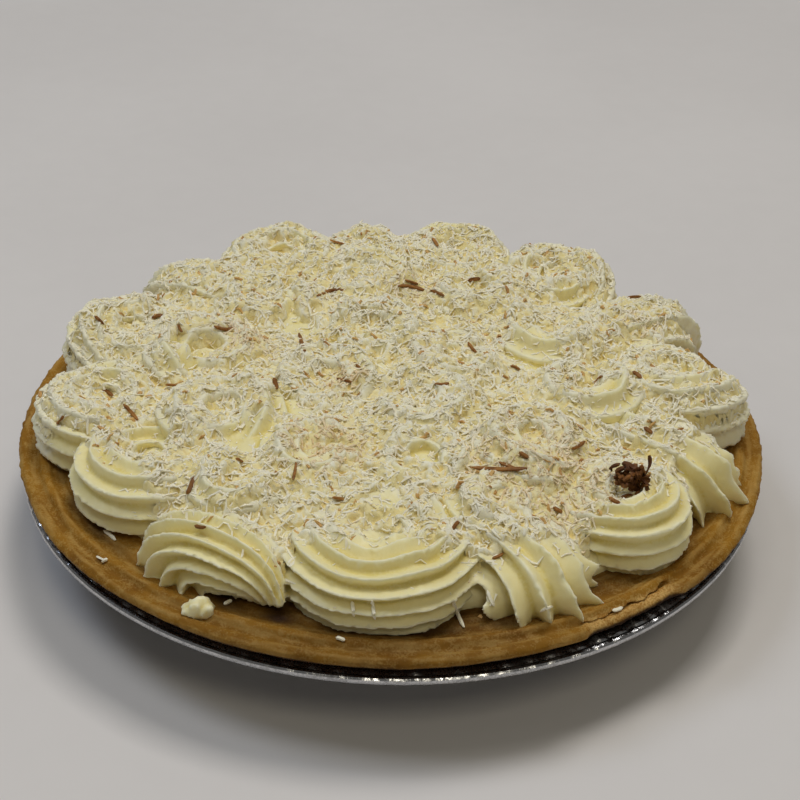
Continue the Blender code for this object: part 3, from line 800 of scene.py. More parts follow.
def rope(sections, star):
    """The rings of one piped rope. Its crests may be twisted round it, and torn by the crust."""
    around = star.points * STAR_STEPS
    rings = []
    for i, place in enumerate(sections):
        a = np.linspace(0, 2 * math.pi, around, endpoint=False) + star.twist * (1 - i / len(sections)) ** 2
        crest = 1 - star.groove * np.abs(np.sin(np.arange(around) * math.pi / STAR_STEPS)) ** CREST
        for k in range(0, around, STAR_STEPS):
            tear = noise.noise(place.at / TEAR_SIZE + Vector((k, 0, 0)))
            crest[k] *= 1 + star.torn * max(-0.4, tear) * (1 - 0.85 * max(0.0, place.up.z))
        uneven = noise.noise_vector(place.at / TREMBLE_SIZE)
        size = crest * (1 + 0.10 * uneven.z)
        power = np.where(np.sin(a) < 0, 1 - (1 - FOOT) * max(0.0, place.up.z), 1.0)
        aside = np.sign(np.cos(a)) * np.abs(np.cos(a)) ** power
        rings.append(np.array(place.at + uneven * TREMBLE)
                     + np.outer(place.wide * size * aside, place.across)
                     + np.outer(place.high * size * np.sin(a), place.up))
    return np.array(rings)


def lump(middle, radii, grain_size):
    """The rings of a small uneven blob."""
    rings = []
    for up_angle in np.linspace(-1.45, 1.45, 14):
        a = np.linspace(0, 2 * math.pi, 28, endpoint=False)
        ball = np.stack([np.cos(a) * math.cos(up_angle), np.sin(a) * math.cos(up_angle),
                         0 * a + math.sin(up_angle)], axis=-1) * radii
        uneven = np.array([noise.noise(Vector(p) / grain_size + middle / 0.01) for p in ball.tolist()])
        rings.append(np.array(middle) + ball * (1 + 0.45 * uneven[:, None]))
    return np.array(rings)


def apply_modifier(obj, modifier):
    """Makes what a modifier does to an object lasting."""
    bpy.context.view_layer.objects.active = obj
    bpy.ops.object.modifier_apply(modifier=modifier.name)


def thinned(obj, most):
    """Thins a mesh to a number of triangles and shades it smooth."""
    fewer = obj.modifiers.new("fewer", "DECIMATE")
    fewer.ratio = min(1.0, most / triangles(obj))
    apply_modifier(obj, fewer)
    obj.data.shade_smooth()


def melted(name, all_rings, torn, most):
    """Melts ropes into one skin, roughens it, notes its relief and thins it to a number of triangles."""
    points, faces = [], []
    for rings in all_rings:
        more_points, more_faces = skin(rings)
        faces += [[corner + len(points) for corner in face] for face in more_faces]
        points += more_points
    cream = mesh_object(name, points, faces)
    melt = cream.modifiers.new("melt", "REMESH")
    melt.mode = "VOXEL"
    melt.voxel_size = MELT_STEP
    apply_modifier(cream, melt)
    keep_relief(cream, rounds=14)
    roughen(cream, torn)
    thinned(cream, most)
    return cream


def roughen(cream, torn):
    """Fine pits everywhere, ragged crests, and a flat seat where the cream lies on the crust."""
    mesh = cream.data
    points = eased(mesh, positions(mesh), 2)
    relief = np.zeros(len(points), np.float32)
    mesh.attributes["relief"].data.foreach_get("value", relief)
    crests = smooth((relief - 0.55) / 0.3) * smooth(0.5 + 2.0 * crumple(points, 0.009))
    moved = 0.00018 * crumple(points, 0.0028, 3) + torn * crests * crumple(points, 0.0019, 2)
    points += normals_of(mesh) * moved[:, None]
    points[:, 2] = np.maximum(points[:, 2], CRUST_TOP - 0.0006)
    place_points(mesh, points)


PATHS = {"rosette": rosette, "shell": shell}
SEEN_STARS = {0: Star(14, 0.29, 0.0, 0.10), 1: Star(14, 0.36, 0.0, 0.05), 3: Star(13, 0.34, 0.5, 0.34),
              4: Star(12, GROOVE, 0.0, 0.30), 5: Star(12, 0.34, 0.3, 0.30)}
stars = [SEEN_STARS.get(i, PLAIN_STAR) for i in range(len(border))]
border_ropes = [rope(PATHS[swirl.kind](swirl), star) for swirl, star in zip(border, stars)]
border_ropes.append(lump(DAB_AT, DAB_RADII, DAB_GRAIN))
cream_border = melted("piped_cream_border", border_ropes, BORDER_TORN, BORDER_TRIANGLES)

# %% [markdown]
# The middle of the cream
#
# Inside the border the baker piped more rosettes over a low bed of cream. The bed shows in a few gaps only,
# but without it one could look through to the pastry.

# %% Cream in the middle
LOW_BED = CRUST_TOP + 0.0175
LOW_BED_EDGE = 0.1040
MIDDLE_TORN = 0.00030
MIDDLE_TRIANGLES = 70000
INNER_STAR = Star(9, 0.20, 0.0, 0.03)
low_bed = [(0.004, LOW_BED), (0.068, LOW_BED), (0.086, LOW_BED - 0.004), (0.096, LOW_BED - 0.009),
           (LOW_BED_EDGE, CRUST_TOP + 0.003), (LOW_BED_EDGE, CRUST_TOP - 0.004), (0.004, CRUST_TOP - 0.004)]


def dimple(radius, height, angle):
    dents = crumple(in_space(radius, height, angle), 0.009, 2)
    return radius, height + 0.0012 * dents * (height > CRUST_TOP + 0.001)


inner_ropes = [rope(rosette(swirl), INNER_STAR) for swirl in inner]
inner_ropes.append(turn(along(low_bed, 0.002), 240, dimple))
cream_middle = melted("piped_cream_middle", inner_ropes, MIDDLE_TORN, MIDDLE_TRIANGLES)

# %% [markdown]
# The cream's finish
#
# Cream with egg yolk and butter in it looks white on its thin crests and a soft yellow in its hollows, where
# light bounces between the walls and passes through more cream. Painted Relief Shade paints these colours
# in: a painted highlight on the crests, and painted shade and bounced light in the hollows. Subsurface light
# does the rest: it lets the crests glow and softens the shadows. A fine grain in the gloss keeps it from
# looking like plastic. Where coconut clings to the cream, which a later step keeps in the mesh as the
# attribute "dusted", the colour turns to that of coconut.

# %% Cream finish
cream_finish, tree, shader = new_material("whipped_cream", {"Subsurface Weight": 0.40,
                                                            "Subsurface Radius": (1.0, 0.95, 0.85),
                                                            "Subsurface Scale": 0.0022,
                                                            "Specular IOR Level": 0.35})
cream_grain = use_group(tree, grain, {"Coarse Size": 0.0060, "Fine Size": 0.0009, "Fine Share": 0.5})
# Painted highlight on the crests, painted shade and bounced light in the hollows.
cream_relief_shade = use_group(tree, painted_relief_shade, {"Relief": kept(tree, "relief"), "Hollow": (0.79, 0.66, 0.20, 1),
                                           "Face": (0.90, 0.81, 0.43, 1), "Ridge": (0.95, 0.89, 0.60, 1)})
patchy = spread(tree, cream_grain["Mask"], 0, 1, 0.65, 1.0)
clinging = node(tree, "Math", {0: kept(tree, "dusted"), 1: patchy}, operation="MULTIPLY").outputs[0]
plain_cream = blend(tree, spread(tree, cream_grain["Mask"], 0, 1, 0, 0.3), cream_relief_shade["Color"],
                    (0.93, 0.87, 0.56, 1))
cream_colour = blend(tree, clinging, plain_cream, (0.95, 0.89, 0.66, 1))
dress(tree, shader, cream_colour, cream_grain["Mask"], (0.50, 0.36), (0.35, 0.0002, cream_grain["Height"]))
for cream in (cream_border, cream_middle):
    cream.data.materials.append(cream_finish)
    stands_for(cream, "cream", "whipped_cream")

# %% [markdown]
# A map of heights
#
# Thousands of shreds have to rest on the cream and on each other, and none may float. A physics run of that
# many would take long, so a map of heights does the work: a fine grid over the pie holds the highest point
# in each of its cells, found at first by looking straight down on the cream. Each shred laid afterwards
# raises the map a little, and the next one lies on top of it.

# %% Height map from the cream and the crust
CELL = 0.0006
MAP_REACH = 0.1260
MAPPED_TO = 0.1235
cells = int(2 * MAP_REACH / CELL)


def cell_of(x, y):
    """The map's cells at places in metres."""
    i = np.clip(((np.asarray(x) + MAP_REACH) / CELL).astype(int), 0, cells - 1)
    j = np.clip(((np.asarray(y) + MAP_REACH) / CELL).astype(int), 0, cells - 1)
    return i, j


def surface_of(*pieces):
    """A tree of the faces of some pieces, for casting rays at them."""
    points, faces = [], []
    for piece in pieces:
        faces += [[corner + len(points) for corner in face.vertices] for face in piece.data.polygons]
        points += [tuple(vertex.co) for vertex in piece.data.vertices]
    return BVHTree.FromPolygons(points, faces)


cream_surface = surface_of(cream_border, cream_middle)
heights = np.full((cells, cells), CRUST_TOP)
for i in range(cells):
    for j in range(cells):
        x, y = (i + 0.5) * CELL - MAP_REACH, (j + 0.5) * CELL - MAP_REACH
        if math.hypot(x, y) < MAPPED_TO:
            hit = cream_surface.ray_cast(Vector((x, y, 0.12)), Vector((0, 0, -1)))[0]
            heights[i, j] = max(CRUST_TOP, hit.z) if hit else CRUST_TOP


def blurred(grid, rounds):
    """The map with each cell drawn towards its neighbours."""
    for _ in range(rounds):
        beside = np.roll(grid, 1, 0) + np.roll(grid, -1, 0) + np.roll(grid, 1, 1) + np.roll(grid, -1, 1)
        grid = (grid + beside) / 5
    return grid


bare_heights = heights.copy()
print("cells:", cells * cells, " highest in mm:", round(1000 * heights.max(), 1))

# %% [markdown]
# Where the coconut fell
#
# The baker scattered coconut over the middle, so the top is nearly covered, while the outer faces of the
# front swirls are almost bare. At the back and the sides the coconut reaches out to the crust. The
# photograph shows a few bare arcs as well, and some places where the coconut is toasted pink and tan. They
# are named here by the place where they are seen, and a line of sight from the camera finds them on the
# cream.

# %% Coverage and toasted places
SEEN_BARE = ((385, 600, 24, 0.12), (385, 545, 9, 0.30), (330, 575, 12, 0.2), (440, 590, 12, 0.2),
             (195, 560, 17, 0.10), (235, 590, 9, 0.2), (100, 500, 13, 0.30), (545, 590, 16, 0.15),
             (640, 545, 14, 0.20), (680, 520, 9, 0.2), (720, 480, 15, 0.12), (60, 480, 8, 0.3),
             (250, 436, 9, 0.20), (300, 330, 7, 0.4), (180, 350, 8, 0.5), (615, 400, 10, 0.35),
             (530, 350, 10, 0.30), (570, 300, 8, 0.5), (425, 455, 6, 0.4), (285, 405, 6, 0.3),
             (695, 368, 5, 0.6), (150, 440, 8, 0.4), (385, 500, 6, 0.5), (450, 510, 6, 0.5))
SEEN_TOASTED = ((545, 465, 24, 0.60), (490, 470, 10, 0.6), (325, 450, 15, 0.80), (240, 338, 12, 0.6),
                (345, 380, 8, 0.7), (410, 290, 12, 0.4), (330, 240, 12, 0.3), (640, 330, 9, 0.4))
SLIDES = range(0, 40, 2)


def level_at(x, y, height):
    """The place at a height that is seen at a pixel of the photograph."""
    ray = sight_line(x, y)
    return eye + ray * ((height - eye.z) / ray.z)


def seen_at(x, y, surface=cream_surface):
    """The point of a surface seen at a pixel of the photograph, or a little lower in it where none is."""
    for lower in SLIDES:
        hit = surface.ray_cast(eye, sight_line(x, y + lower))[0]
        if hit:
            return hit
    return level_at(x, y, CRUST_TOP)


def spots(seen):
    """Places, reaches in metres and values, from (x, y, reach in mm, value) in the photograph."""
    return [(seen_at(x, y), radius / 1000, value) for x, y, radius, value in seen]


def lay_out(seen, start, change):
    """A map that starts from some values and is changed near each spot."""
    made = start
    for spot, radius, value in spots(seen):
        near = smooth(1.4 - np.hypot(map_x - spot.x, map_y - spot.y) / radius)
        made = change(made, near, value)
    return made


middles = (np.arange(cells) + 0.5) * CELL - MAP_REACH
map_x, map_y = np.meshgrid(middles, middles, indexing="ij")
map_points = np.stack([map_x, map_y, 0 * map_x], axis=-1)
drift = crumple(map_points, 0.016) + 0.6 * crumple(map_points + 0.5, 0.006)
edge_of_fall = 0.094 + 0.022 * smooth((map_y + 0.050) / 0.020)
falls_off = 1 - 0.94 * smooth((np.hypot(map_x, map_y) - edge_of_fall) / 0.018)
falls_off = np.where(bare_heights > CRUST_TOP + 0.002, falls_off, 0.02)
coverage = lay_out(SEEN_BARE, falls_off * np.clip(1.05 + 0.8 * drift, 0.6, 1),
                   lambda made, near, value: made * (1 - near * (1 - value)))
warmth = lay_out(SEEN_TOASTED, 0 * map_x + 0.05, lambda made, near, value: np.maximum(made, near * value))
print("bare and toasted places:", len(SEEN_BARE), len(SEEN_TOASTED))

# %% [markdown]
# Coconut that sticks to the walls
#
# Fine coconut clings to the steep sides of the swirls wherever the baker's hand passed over, and at the back
# and the far sides it hides the cream down to the crust. Single shreds would slide off in the map of
# heights, so the cream's own surface is roughened there, and its finish turns from cream to coconut.

# %% Dusted cream
def sticking(covered):
    """How much coconut clings to a wall, from the coverage there."""
    return smooth((covered - 0.50) / 0.40)


for cream in (cream_border, cream_middle):
    cream_points = positions(cream.data)
    dusted = sticking(coverage[cell_of(cream_points[:, 0], cream_points[:, 1])])
    thick = dusted * (0.0004 + 0.0007 * crumple(cream_points, 0.0016, 2))
    place_points(cream.data, cream_points + normals_of(cream.data) * thick[:, None])
    keep_values(cream, "dusted", dusted)
    print(f"{cream.name}: {100 * dusted.mean():.0f} % under coconut")

# %% [markdown]
# The packed bed
#
# The coconut that fell first is packed so tight that single shreds don't show. One rough sheet stands for
# it. It takes the higher of two levels: the cream's heights evened out widely, which fills the hollows
# between the swirls, and the same heights evened out a little, which lays a thin cover over the crests, and
# a thicker one at the back. Where the coverage is thin the sheet dips under the cream, and between the swirls
# of the back and the sides it spills down to the crust. Every point is then shaken up and sideways, for
# fluff. Faces that would hang like a curtain from an edge are left out. The loose shreds are laid on the
# sheet afterwards.

# %% Packed coconut
COVER = 0.0011
BED_REACH = 0.1200
DIP = 0.0060
SPILL_RUN = 0.022
FLUFF = 0.0010
SHAKEN = 0.0009
DEEPEST_STEP = 0.0036
BED_TRIANGLES = 170000
WIDE_ROUNDS = 170
FRONT_ROUNDS = 15
BACK_ROUNDS = 40

hollows_filled = blurred(bare_heights, WIDE_ROUNDS) - 0.0007 + 0.0028 * crumple(map_points, 0.014, 2)
thicker = smooth((map_y - 0.010) / 0.040)
evened = blurred(bare_heights, FRONT_ROUNDS) * (1 - thicker) + blurred(bare_heights, BACK_ROUNDS) * thicker
over_crests = evened + COVER * (1.2 + 1.0 * thicker + 1.9 * crumple(map_points, 0.0050, 2))
fluff = crumple(map_points, 0.0016, 2)
packed = np.maximum(hollows_filled, over_crests) - DIP * smooth((0.80 - coverage) / 0.5)
map_radius = np.hypot(map_x, map_y)
on_crust = bare_heights < CRUST_TOP + 0.0015
spill_reach = 0.1150 + 0.0045 * smooth((map_x - 0.070) / 0.030)
spills = smooth((map_y + 0.030) / 0.020) * np.clip((spill_reach - map_radius) / SPILL_RUN, 0, 1)
packed = np.where(on_crust, CRUST_TOP - 0.0012 + (packed - CRUST_TOP) * spills, packed)
bed_heights = np.where(map_radius < BED_REACH, packed + FLUFF * fluff, 0)
bed_places = np.stack([map_x, map_y, bed_heights], axis=-1)
aside_x = SHAKEN * crumple(bed_places, 0.0020, 2)
aside_y = SHAKEN * crumple(bed_places + 0.3, 0.0020, 2)
sheet = np.stack([map_x + aside_x, map_y + aside_y, bed_heights], axis=-1).reshape(-1, 3)

grid = np.arange(cells * cells).reshape(cells, cells)
corners = np.stack([grid[:-1, :-1], grid[1:, :-1], grid[1:, 1:], grid[:-1, 1:]], axis=-1).reshape(-1, 4)
above = sheet[:, 2] > np.maximum(bare_heights.ravel() - 0.0003, CRUST_TOP)
corner_heights = sheet[corners, 2]
hangs_over = np.ptp(corner_heights, axis=1) > DEEPEST_STEP
on_the_pie = corner_heights.min(axis=1) > CRUST_TOP - 0.002
shown = corners[above[corners].any(axis=1) & on_the_pie & ~hangs_over]
used, renamed = np.unique(shown, return_inverse=True)
bed = mesh_object("coconut_bed", sheet[used].tolist(), renamed.reshape(-1, 4).tolist())
keep_relief(bed, rounds=14)
thinned(bed, BED_TRIANGLES)
heights = np.maximum(bare_heights + 0.0005 * sticking(coverage), bed_heights)

# %% [markdown]
# Laying a shred
#
# A shred of coconut is a thin strip, a little curved, that rests on the two highest bumps beneath it and
# sags between them. For each one, the map gives the heights along its length, the support line over them is
# found, and the shred is bent most of the way down to the surface. Some have one end lifted, because they
# lie across others. On a steep wall of cream a shred sticks along the wall more often than down it, and one
# that would have to stretch down a drop isn't laid. Then the map is raised beneath it.

# %% Shreds on the map
Shred = namedtuple("Shred", "path width thickness roll tint ends")
STEEPEST = math.tan(math.radians(58))
SAG = 0.9
STEEP_WALL = 1.0
ALONG_WALL = 0.7
BROWNED_TIPS = 0.10

slope_x, slope_y = np.gradient(blurred(bare_heights, 4), CELL)
wall_steepness = np.hypot(slope_x, slope_y)
wall_heading = np.arctan2(slope_x, -slope_y)


def rest_on_map(path, thickness, lift):
    """Heights along a path for a strip that rests on the map."""
    i, j = cell_of(path[:, 0], path[:, 1])
    below = heights[i, j]
    s = np.linspace(-1, 1, len(path))
    centre = len(path) // 2
    line = np.full(len(path), below[centre])
    for a in range(centre + 1):
        for b in range(centre, len(path)):
            if a != b:
                slope = (below[b] - below[a]) / (s[b] - s[a])
                if below[a] + slope * (0 - s[a]) > line[centre] + 1e-7:
                    line = below[a] + slope * (s - s[a])
    up = below + (np.maximum(line, below) - below) * (1 - SAG)
    return up - thickness * 0.1 + lift * (s * 0.5 + 0.5)


def make_shred(rng, x, y, length, width, thickness, parts, lift, tint):
    """A curved strip laid on the map. Gives None where the cream is too steep for it."""
    i, j = cell_of(x, y)
    heading = rng.uniform(0, 2 * math.pi)
    if wall_steepness[i, j] > STEEP_WALL and rng.random() < ALONG_WALL:
        heading = wall_heading[i, j] + rng.gauss(0, 0.5)
    bend = rng.gauss(0, 0.20) / length * 2
    s = np.linspace(-0.5, 0.5, parts + 1) * length
    ahead = np.array((math.cos(heading), math.sin(heading)))
    aside = np.array((-ahead[1], ahead[0]))
    plan = np.array((x, y)) + np.outer(s, ahead) + np.outer(bend * s * s * 2, aside)
    up = rest_on_map(plan, thickness, lift)
    if np.abs(np.diff(up)).max() > STEEPEST * length / parts:
        return None
    tip = 0.4 if rng.random() < BROWNED_TIPS else 0.0
    tints = [min(1.0, tint + tip * k / parts) for k in range(parts + 1)]
    return Shred(np.column_stack([plan, up]), width, thickness, rng.gauss(0, 0.22), tints,
                 (rng.uniform(0.25, 1), rng.uniform(0.25, 1)))


def raise_map(shred):
    """Raises the map to the top of a shred."""
    path = shred.path
    runs = np.linalg.norm(np.diff(path[:, :2], axis=0), axis=1)
    marks = np.concatenate([[0], np.cumsum(runs)])
    at = np.linspace(0, marks[-1], max(2, int(marks[-1] / CELL) + 1))
    line = np.column_stack([np.interp(at, marks, path[:, axis]) for axis in range(3)])
    ahead = (path[-1, :2] - path[0, :2]) / max(1e-6, np.linalg.norm(path[-1, :2] - path[0, :2]))
    for side in (-0.35, 0.35):
        i, j = cell_of(line[:, 0] - ahead[1] * side * shred.width, line[:, 1] + ahead[0] * side * shred.width)
        np.maximum.at(heights, (i, j), line[:, 2] + shred.thickness * 0.2)


def strip_rings(shred):
    """Four corners at each point of a shred, narrower at its ends."""
    path = shred.path
    ahead = np.gradient(path, axis=0)
    ahead /= np.linalg.norm(ahead, axis=1)[:, None]
    across = np.cross(ahead, (0, 0, 1))
    across /= np.maximum(np.linalg.norm(across, axis=1)[:, None], 1e-6)
    over = np.cross(across, ahead)
    turned = across * math.cos(shred.roll) + over * math.sin(shred.roll)
    over = over * math.cos(shred.roll) - across * math.sin(shred.roll)
    thin = np.full(len(path), 1.0)
    thin[[0, -1]] = shred.ends
    half_wide = (turned * shred.width / 2) * thin[:, None]
    half_high = (over * shred.thickness / 2) * thin[:, None]
    return np.stack([path + half_wide * 0.75 + half_high, path - half_wide * 0.75 + half_high,
                     path - half_wide - half_high * 0.6, path + half_wide - half_high * 0.6], axis=1)


def strips(name, shreds, finish):
    """One mesh of many shreds, with each one's toasting kept as an attribute."""
    points, faces, tints = [], [], []
    for shred in shreds:
        rings = strip_rings(shred)
        base, last = len(points), len(points) + 4 * (len(rings) - 1)
        points += rings.reshape(-1, 3).tolist()
        tints += np.repeat(shred.tint, 4).tolist()
        for k in range(base, last, 4):
            faces += [(k + a, k + 4 + a, k + 4 + (a + 1) % 4, k + (a + 1) % 4) for a in range(4)]
        faces += [(base, base + 1, base + 2, base + 3), (last + 3, last + 2, last + 1, last)]
    piece = mesh_object(name, points, faces, finish)
    keep_values(piece, "toasting", np.array(tints))
    face_out(piece)
    return piece


print("steepest slope that holds coconut:", round(STEEPEST, 2))

# %% [markdown]
# The coconut's finishes
#
# Dried coconut is white, a little tan where it begins to brown, and slightly see-through at its thin
# edges. One function makes all the finishes of loose shreds. Each takes its patches from the Toasting group
# and goes to its dark colour by the toasting kept in each shred. The golden bits, the few dark ones and the
# burnt clump are toasted through, so they let less light in. The packed coconut has its own finish: yellow
# in its hollows, which is painted shade and cream showing through, white where it stands out, which is a
# painted highlight, with creamy and tan patches.

# %% Coconut finishes
def coconut_finish(name, light, dark, amount, glow):
    finish, tree, shader = new_material(name, {"Subsurface Weight": glow,
                                               "Subsurface Radius": (1.0, 1.0, 1.0),
                                               "Subsurface Scale": 0.0005,
                                               "Specular IOR Level": 0.25})
    fibre = use_group(tree, grain, {"Coarse Size": 0.0020, "Fine Size": 0.0004, "Fine Share": 0.5})
    toasted = use_group(tree, toasting, {"Patch Size": 0.0040, "Amount": amount,
                                         "Light": light, "Dark": dark})
    shred_colour = blend(tree, kept(tree, "toasting"), toasted["Color"], dark)
    dress(tree, shader, shred_colour, fibre["Mask"], (0.72, 0.48), (0.5, 0.0002, fibre["Height"]))
    return finish


white_finish = coconut_finish("white_coconut", (0.97, 0.92, 0.73, 1), (0.82, 0.60, 0.32, 1), 0.17, 0.30)
golden_finish = coconut_finish("golden_coconut", (0.76, 0.50, 0.19, 1), (0.40, 0.18, 0.045, 1), 0.40, 0.15)
brown_finish = coconut_finish("brown_coconut", (0.52, 0.25, 0.065, 1), (0.17, 0.062, 0.012, 1), 0.45, 0.03)
burnt_finish = coconut_finish("burnt_coconut", (0.46, 0.20, 0.050, 1), (0.09, 0.030, 0.008, 1), 0.50, 0.03)

packed_finish, tree, shader = new_material("packed_coconut", {"Subsurface Weight": 0.25,
                                                              "Subsurface Radius": (1.0, 0.97, 0.9),
                                                              "Subsurface Scale": 0.0008,
                                                              "Specular IOR Level": 0.25})
fibre = use_group(tree, grain, {"Coarse Size": 0.0016, "Fine Size": 0.0005, "Fine Share": 0.5})
# Painted shade in the hollows and a painted highlight where the coconut stands out.
packed_relief_shade = use_group(tree, painted_relief_shade, {"Relief": kept(tree, "relief"), "Hollow": (0.83, 0.65, 0.24, 1),
                                            "Face": (0.91, 0.82, 0.49, 1), "Ridge": (0.96, 0.92, 0.74, 1)})
creamy_places = use_group(tree, grain, {"Coarse Size": 0.0120, "Fine Size": 0.0030, "Fine Share": 0.3})
creamy = blend(tree, spread(tree, creamy_places["Mask"], 0.45, 0.75, 0.0, 0.75), packed_relief_shade["Color"],
               (0.86, 0.74, 0.34, 1))
stained = use_group(tree, toasting, {"Patch Size": 0.0060, "Amount": 0.20, "Light": creamy,
                                     "Dark": (0.82, 0.60, 0.27, 1)})
dress(tree, shader, stained["Color"], fibre["Mask"], (0.74, 0.52), (0.8, 0.0004, fibre["Height"]))
bed.data.materials.append(packed_finish)
stands_for(bed, "cream", "whipped_cream")

# %% [markdown]
# Scattering the coconut
#
# The shreds are laid one after another. For each, random places are tried until the coverage lets it stay,
# and it stays more easily on a slope, because seen from above a slope is larger than it looks. Every kind is
# one mesh. The white kinds are mixed as they are laid, and the golden and brown bits come last, so that they
# lie on top and show.

# %% White and golden coconut
Kind = namedtuple("Kind", "count length width thickness parts lift")
KINDS = {"long": Kind(600, (0.0040, 0.0070), (0.0006, 0.0009), (0.0003, 0.0005), 4, 0.0007),
         "short": Kind(5500, (0.0018, 0.0042), (0.0006, 0.0010), (0.0003, 0.0004), 2, 0.0002),
         "fine": Kind(15000, (0.0007, 0.0018), (0.0006, 0.0010), (0.0003, 0.0005), 1, 0.0001),
         "golden": Kind(360, (0.0010, 0.0028), (0.0008, 0.0014), (0.0004, 0.0008), 2, 0.0003)}
SCATTER_REACH = 0.118
HOLD_LEVEL = 0.65
HOLD_SLOPES = 0.14
HOLD_STEEPEST = 2.5


def open_place(rng):
    """A place that the coverage allows."""
    while True:
        r, a = SCATTER_REACH * math.sqrt(rng.random()), rng.uniform(0, 2 * math.pi)
        x, y = r * math.cos(a), r * math.sin(a)
        i, j = cell_of(x, y)
        hold = HOLD_LEVEL + HOLD_SLOPES * min(wall_steepness[i, j], HOLD_STEEPEST)
        if rng.random() < coverage[i, j] * hold:
            return x, y


def scatter(rng, kind_names):
    """Lays shreds of the named kinds in a random order, and gives those that found a hold."""
    laid = {name: [] for name in kind_names}
    order = [name for name in kind_names for _ in range(KINDS[name].count)]
    rng.shuffle(order)
    for name in order:
        kind = KINDS[name]
        x, y = open_place(rng)
        lift = kind.lift * max(0.0, rng.gauss(0, 1))
        tint = 0.0 if name == "golden" else max(0.0, rng.gauss(warmth[cell_of(x, y)] - 0.05, 0.10))
        shred = make_shred(rng, x, y, rng.uniform(*kind.length), rng.uniform(*kind.width),
                           rng.uniform(*kind.thickness), kind.parts, lift, min(tint, 1.0))
        if shred:
            raise_map(shred)
            laid[name].append(shred)
    return laid


scattering = random.Random(SEED + 1)
laid = scatter(scattering, ["long", "short", "fine"])
laid.update(scatter(scattering, ["golden"]))
for name, shreds in laid.items():
    piece = strips("coconut_" + name, shreds, golden_finish if name == "golden" else white_finish)
    stands_for(piece, "cream", "whipped_cream")

# %% [markdown]
# Toasted bits that one can point at
#
# About forty shreds in the photograph are toasted dark enough to be counted. Each is laid where it is seen,
# with the length and the lean that it has there. One that falls beyond the outline slides down the picture
# until all of it lies on the pie, and one that would bridge two swirls lies level. A second list holds the
# white ones that hang down the front swirls or lie on the crust.

# %% Brown coconut
SEEN_BROWN = ((470, 467, 527, 468), (499, 462, 520, 471), (95, 316, 104, 324), (165, 385, 182, 387),
              (124, 404, 138, 420), (176, 318, 182, 332), (214, 326, 236, 328), (317, 296, 343, 290),
              (274, 378, 277, 389), (299, 333, 305, 351), (354, 362, 362, 370), (337, 378, 352, 382),
              (293, 480, 297, 458), (187, 494, 194, 477), (236, 458, 243, 462), (195, 525, 206, 527),
              (332, 497, 344, 499), (434, 383, 449, 383), (468, 342, 476, 352), (510, 366, 520, 370),
              (594, 384, 602, 376), (632, 372, 641, 378), (468, 281, 480, 279), (627, 294, 642, 293),
              (432, 238, 438, 246), (398, 286, 424, 290), (405, 280, 418, 284), (571, 449, 584, 441),
              (519, 452, 528, 458), (674, 432, 683, 428), (644, 427, 652, 433), (609, 497, 620, 503),
              (553, 507, 562, 512), (452, 530, 459, 521), (492, 558, 503, 553), (152, 318, 163, 315),
              (103, 390, 113, 396), (57, 424, 64, 416), (430, 290, 444, 296), (330, 236, 344, 240))
SEEN_HANGING = ((450, 592, 464, 627), (372, 600, 375, 619), (336, 637, 345, 640), (104, 530, 116, 540),
                (487, 590, 494, 606), (352, 601, 354, 616), (97, 556, 105, 560), (102, 562, 108, 559),
                (612, 610, 622, 607), (224, 604, 232, 600), (540, 612, 552, 606))
PARTS = 6
BROWN_WIDTH = (0.0009, 0.0016)
HANGING_WIDTH = 0.0011
SEEN_THICKNESS = 0.0007
JUMP = 3.0

top_surface = surface_of(cream_border, cream_middle, bed)
front_surface = surface_of(cream_border, bed, crust)


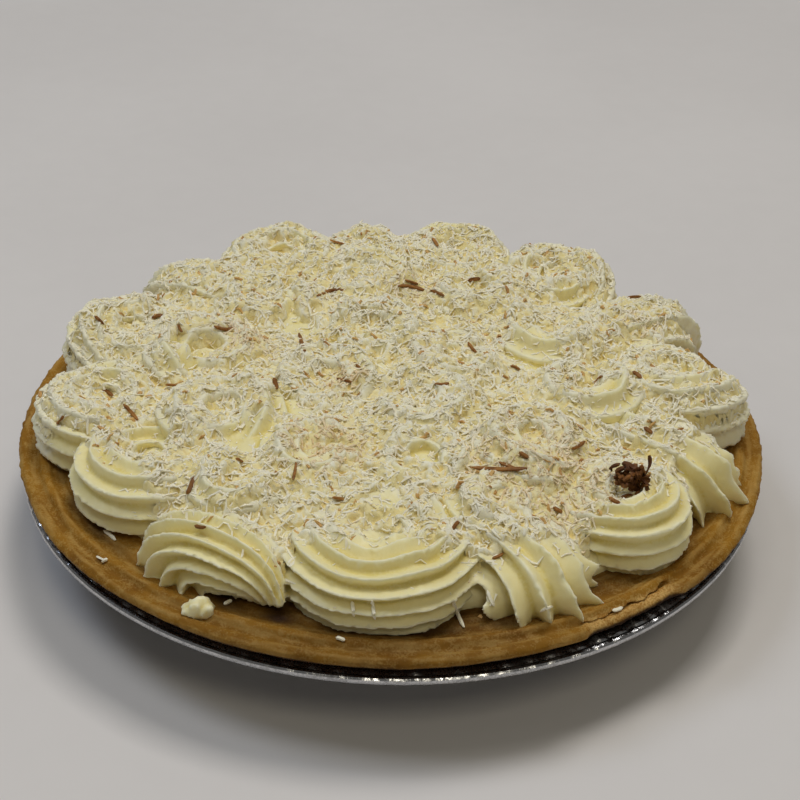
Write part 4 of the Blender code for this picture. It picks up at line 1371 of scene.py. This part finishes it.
def seen_shred(rng, seen, surface, width, thickness, tint):
    """A strip between two places of the photograph, laid on what is seen there."""
    bow = rng.uniform(-0.12, 0.12) * math.dist(seen[:2], seen[2:])
    x0, y0, x1, y1 = seen
    shares = [k / PARTS for k in range(PARTS + 1)]
    for lower in SLIDES:
        pixels = [(x0 + (x1 - x0) * s, y0 + (y1 - y0) * s + bow * math.sin(math.pi * s) + lower)
                  for s in shares]
        if all(surface.ray_cast(eye, sight_line(x, y))[0] for x, y in pixels):
            break
    path = np.array([seen_at(x, y, surface) + away * thickness for x, y in pixels])
    steps = np.linalg.norm(np.diff(path, axis=0), axis=1)
    if surface is top_surface and steps.max() > JUMP * np.median(steps):
        path = np.array([level_at(x, y, path[PARTS // 2][2]) for x, y in pixels])
    path[1:-1] = (path[:-2] + path[1:-1] + path[2:]) / 3
    return Shred(path, width, thickness, rng.gauss(0, 0.3), [tint] * (PARTS + 1), (0.3, 0.5))


brown = []
for seen in SEEN_BROWN:
    width, tint = scattering.uniform(*BROWN_WIDTH), scattering.uniform(0, 0.8)
    brown.append(seen_shred(scattering, seen, top_surface, width, SEEN_THICKNESS, tint))
stands_for(strips("coconut_brown", brown, brown_finish), "cream", "whipped_cream")
hanging = [seen_shred(scattering, seen, front_surface, HANGING_WIDTH, SEEN_THICKNESS, 0.0)
           for seen in SEEN_HANGING]
stands_for(strips("coconut_hanging", hanging, white_finish), "cream", "whipped_cream")

# %% [markdown]
# The toasted clump
#
# On the right lies a knot of burnt coconut as large as a berry, with shards that stick out all ways. It
# could be one lump with a rough finish, but its outline is all ends of shards, so it is made of them: short,
# curved and tapering, each laid any way about one middle.

# %% Toasted clump
CLUMP_AT = Vector((0.0733, -0.0622, 0.0565))
CLUMP_SHARDS = 54
CLUMP_SPREAD = 0.0019
CLUMP_LENGTH = (0.0028, 0.0066)


def clump_shard(rng):
    """A short curved shard that lies any way in the clump."""
    way = Vector((rng.gauss(0, 1), rng.gauss(0, 1), rng.gauss(0, 0.8))).normalized()
    bow = Vector((rng.gauss(0, 1), rng.gauss(0, 1), rng.gauss(0, 1))) * 0.0006
    middle = CLUMP_AT + Vector((rng.gauss(0, 1), rng.gauss(0, 0.9), rng.gauss(0, 0.85))) * CLUMP_SPREAD
    length = rng.uniform(*CLUMP_LENGTH)
    path = [middle + way * length * (k / PARTS - 0.5) + bow * math.sin(math.pi * k / PARTS)
            for k in range(PARTS + 1)]
    return Shred(np.array(path), rng.uniform(0.0010, 0.0021), rng.uniform(0.0006, 0.0011),
                 rng.uniform(-1.5, 1.5), [rng.uniform(0, 0.9)] * (PARTS + 1), (0.7, rng.uniform(0.3, 0.8)))


clump = strips("toasted_clump", [clump_shard(scattering) for _ in range(CLUMP_SHARDS)], burnt_finish)
stands_for(clump, "toasted_coconut", "toasted_cluster")
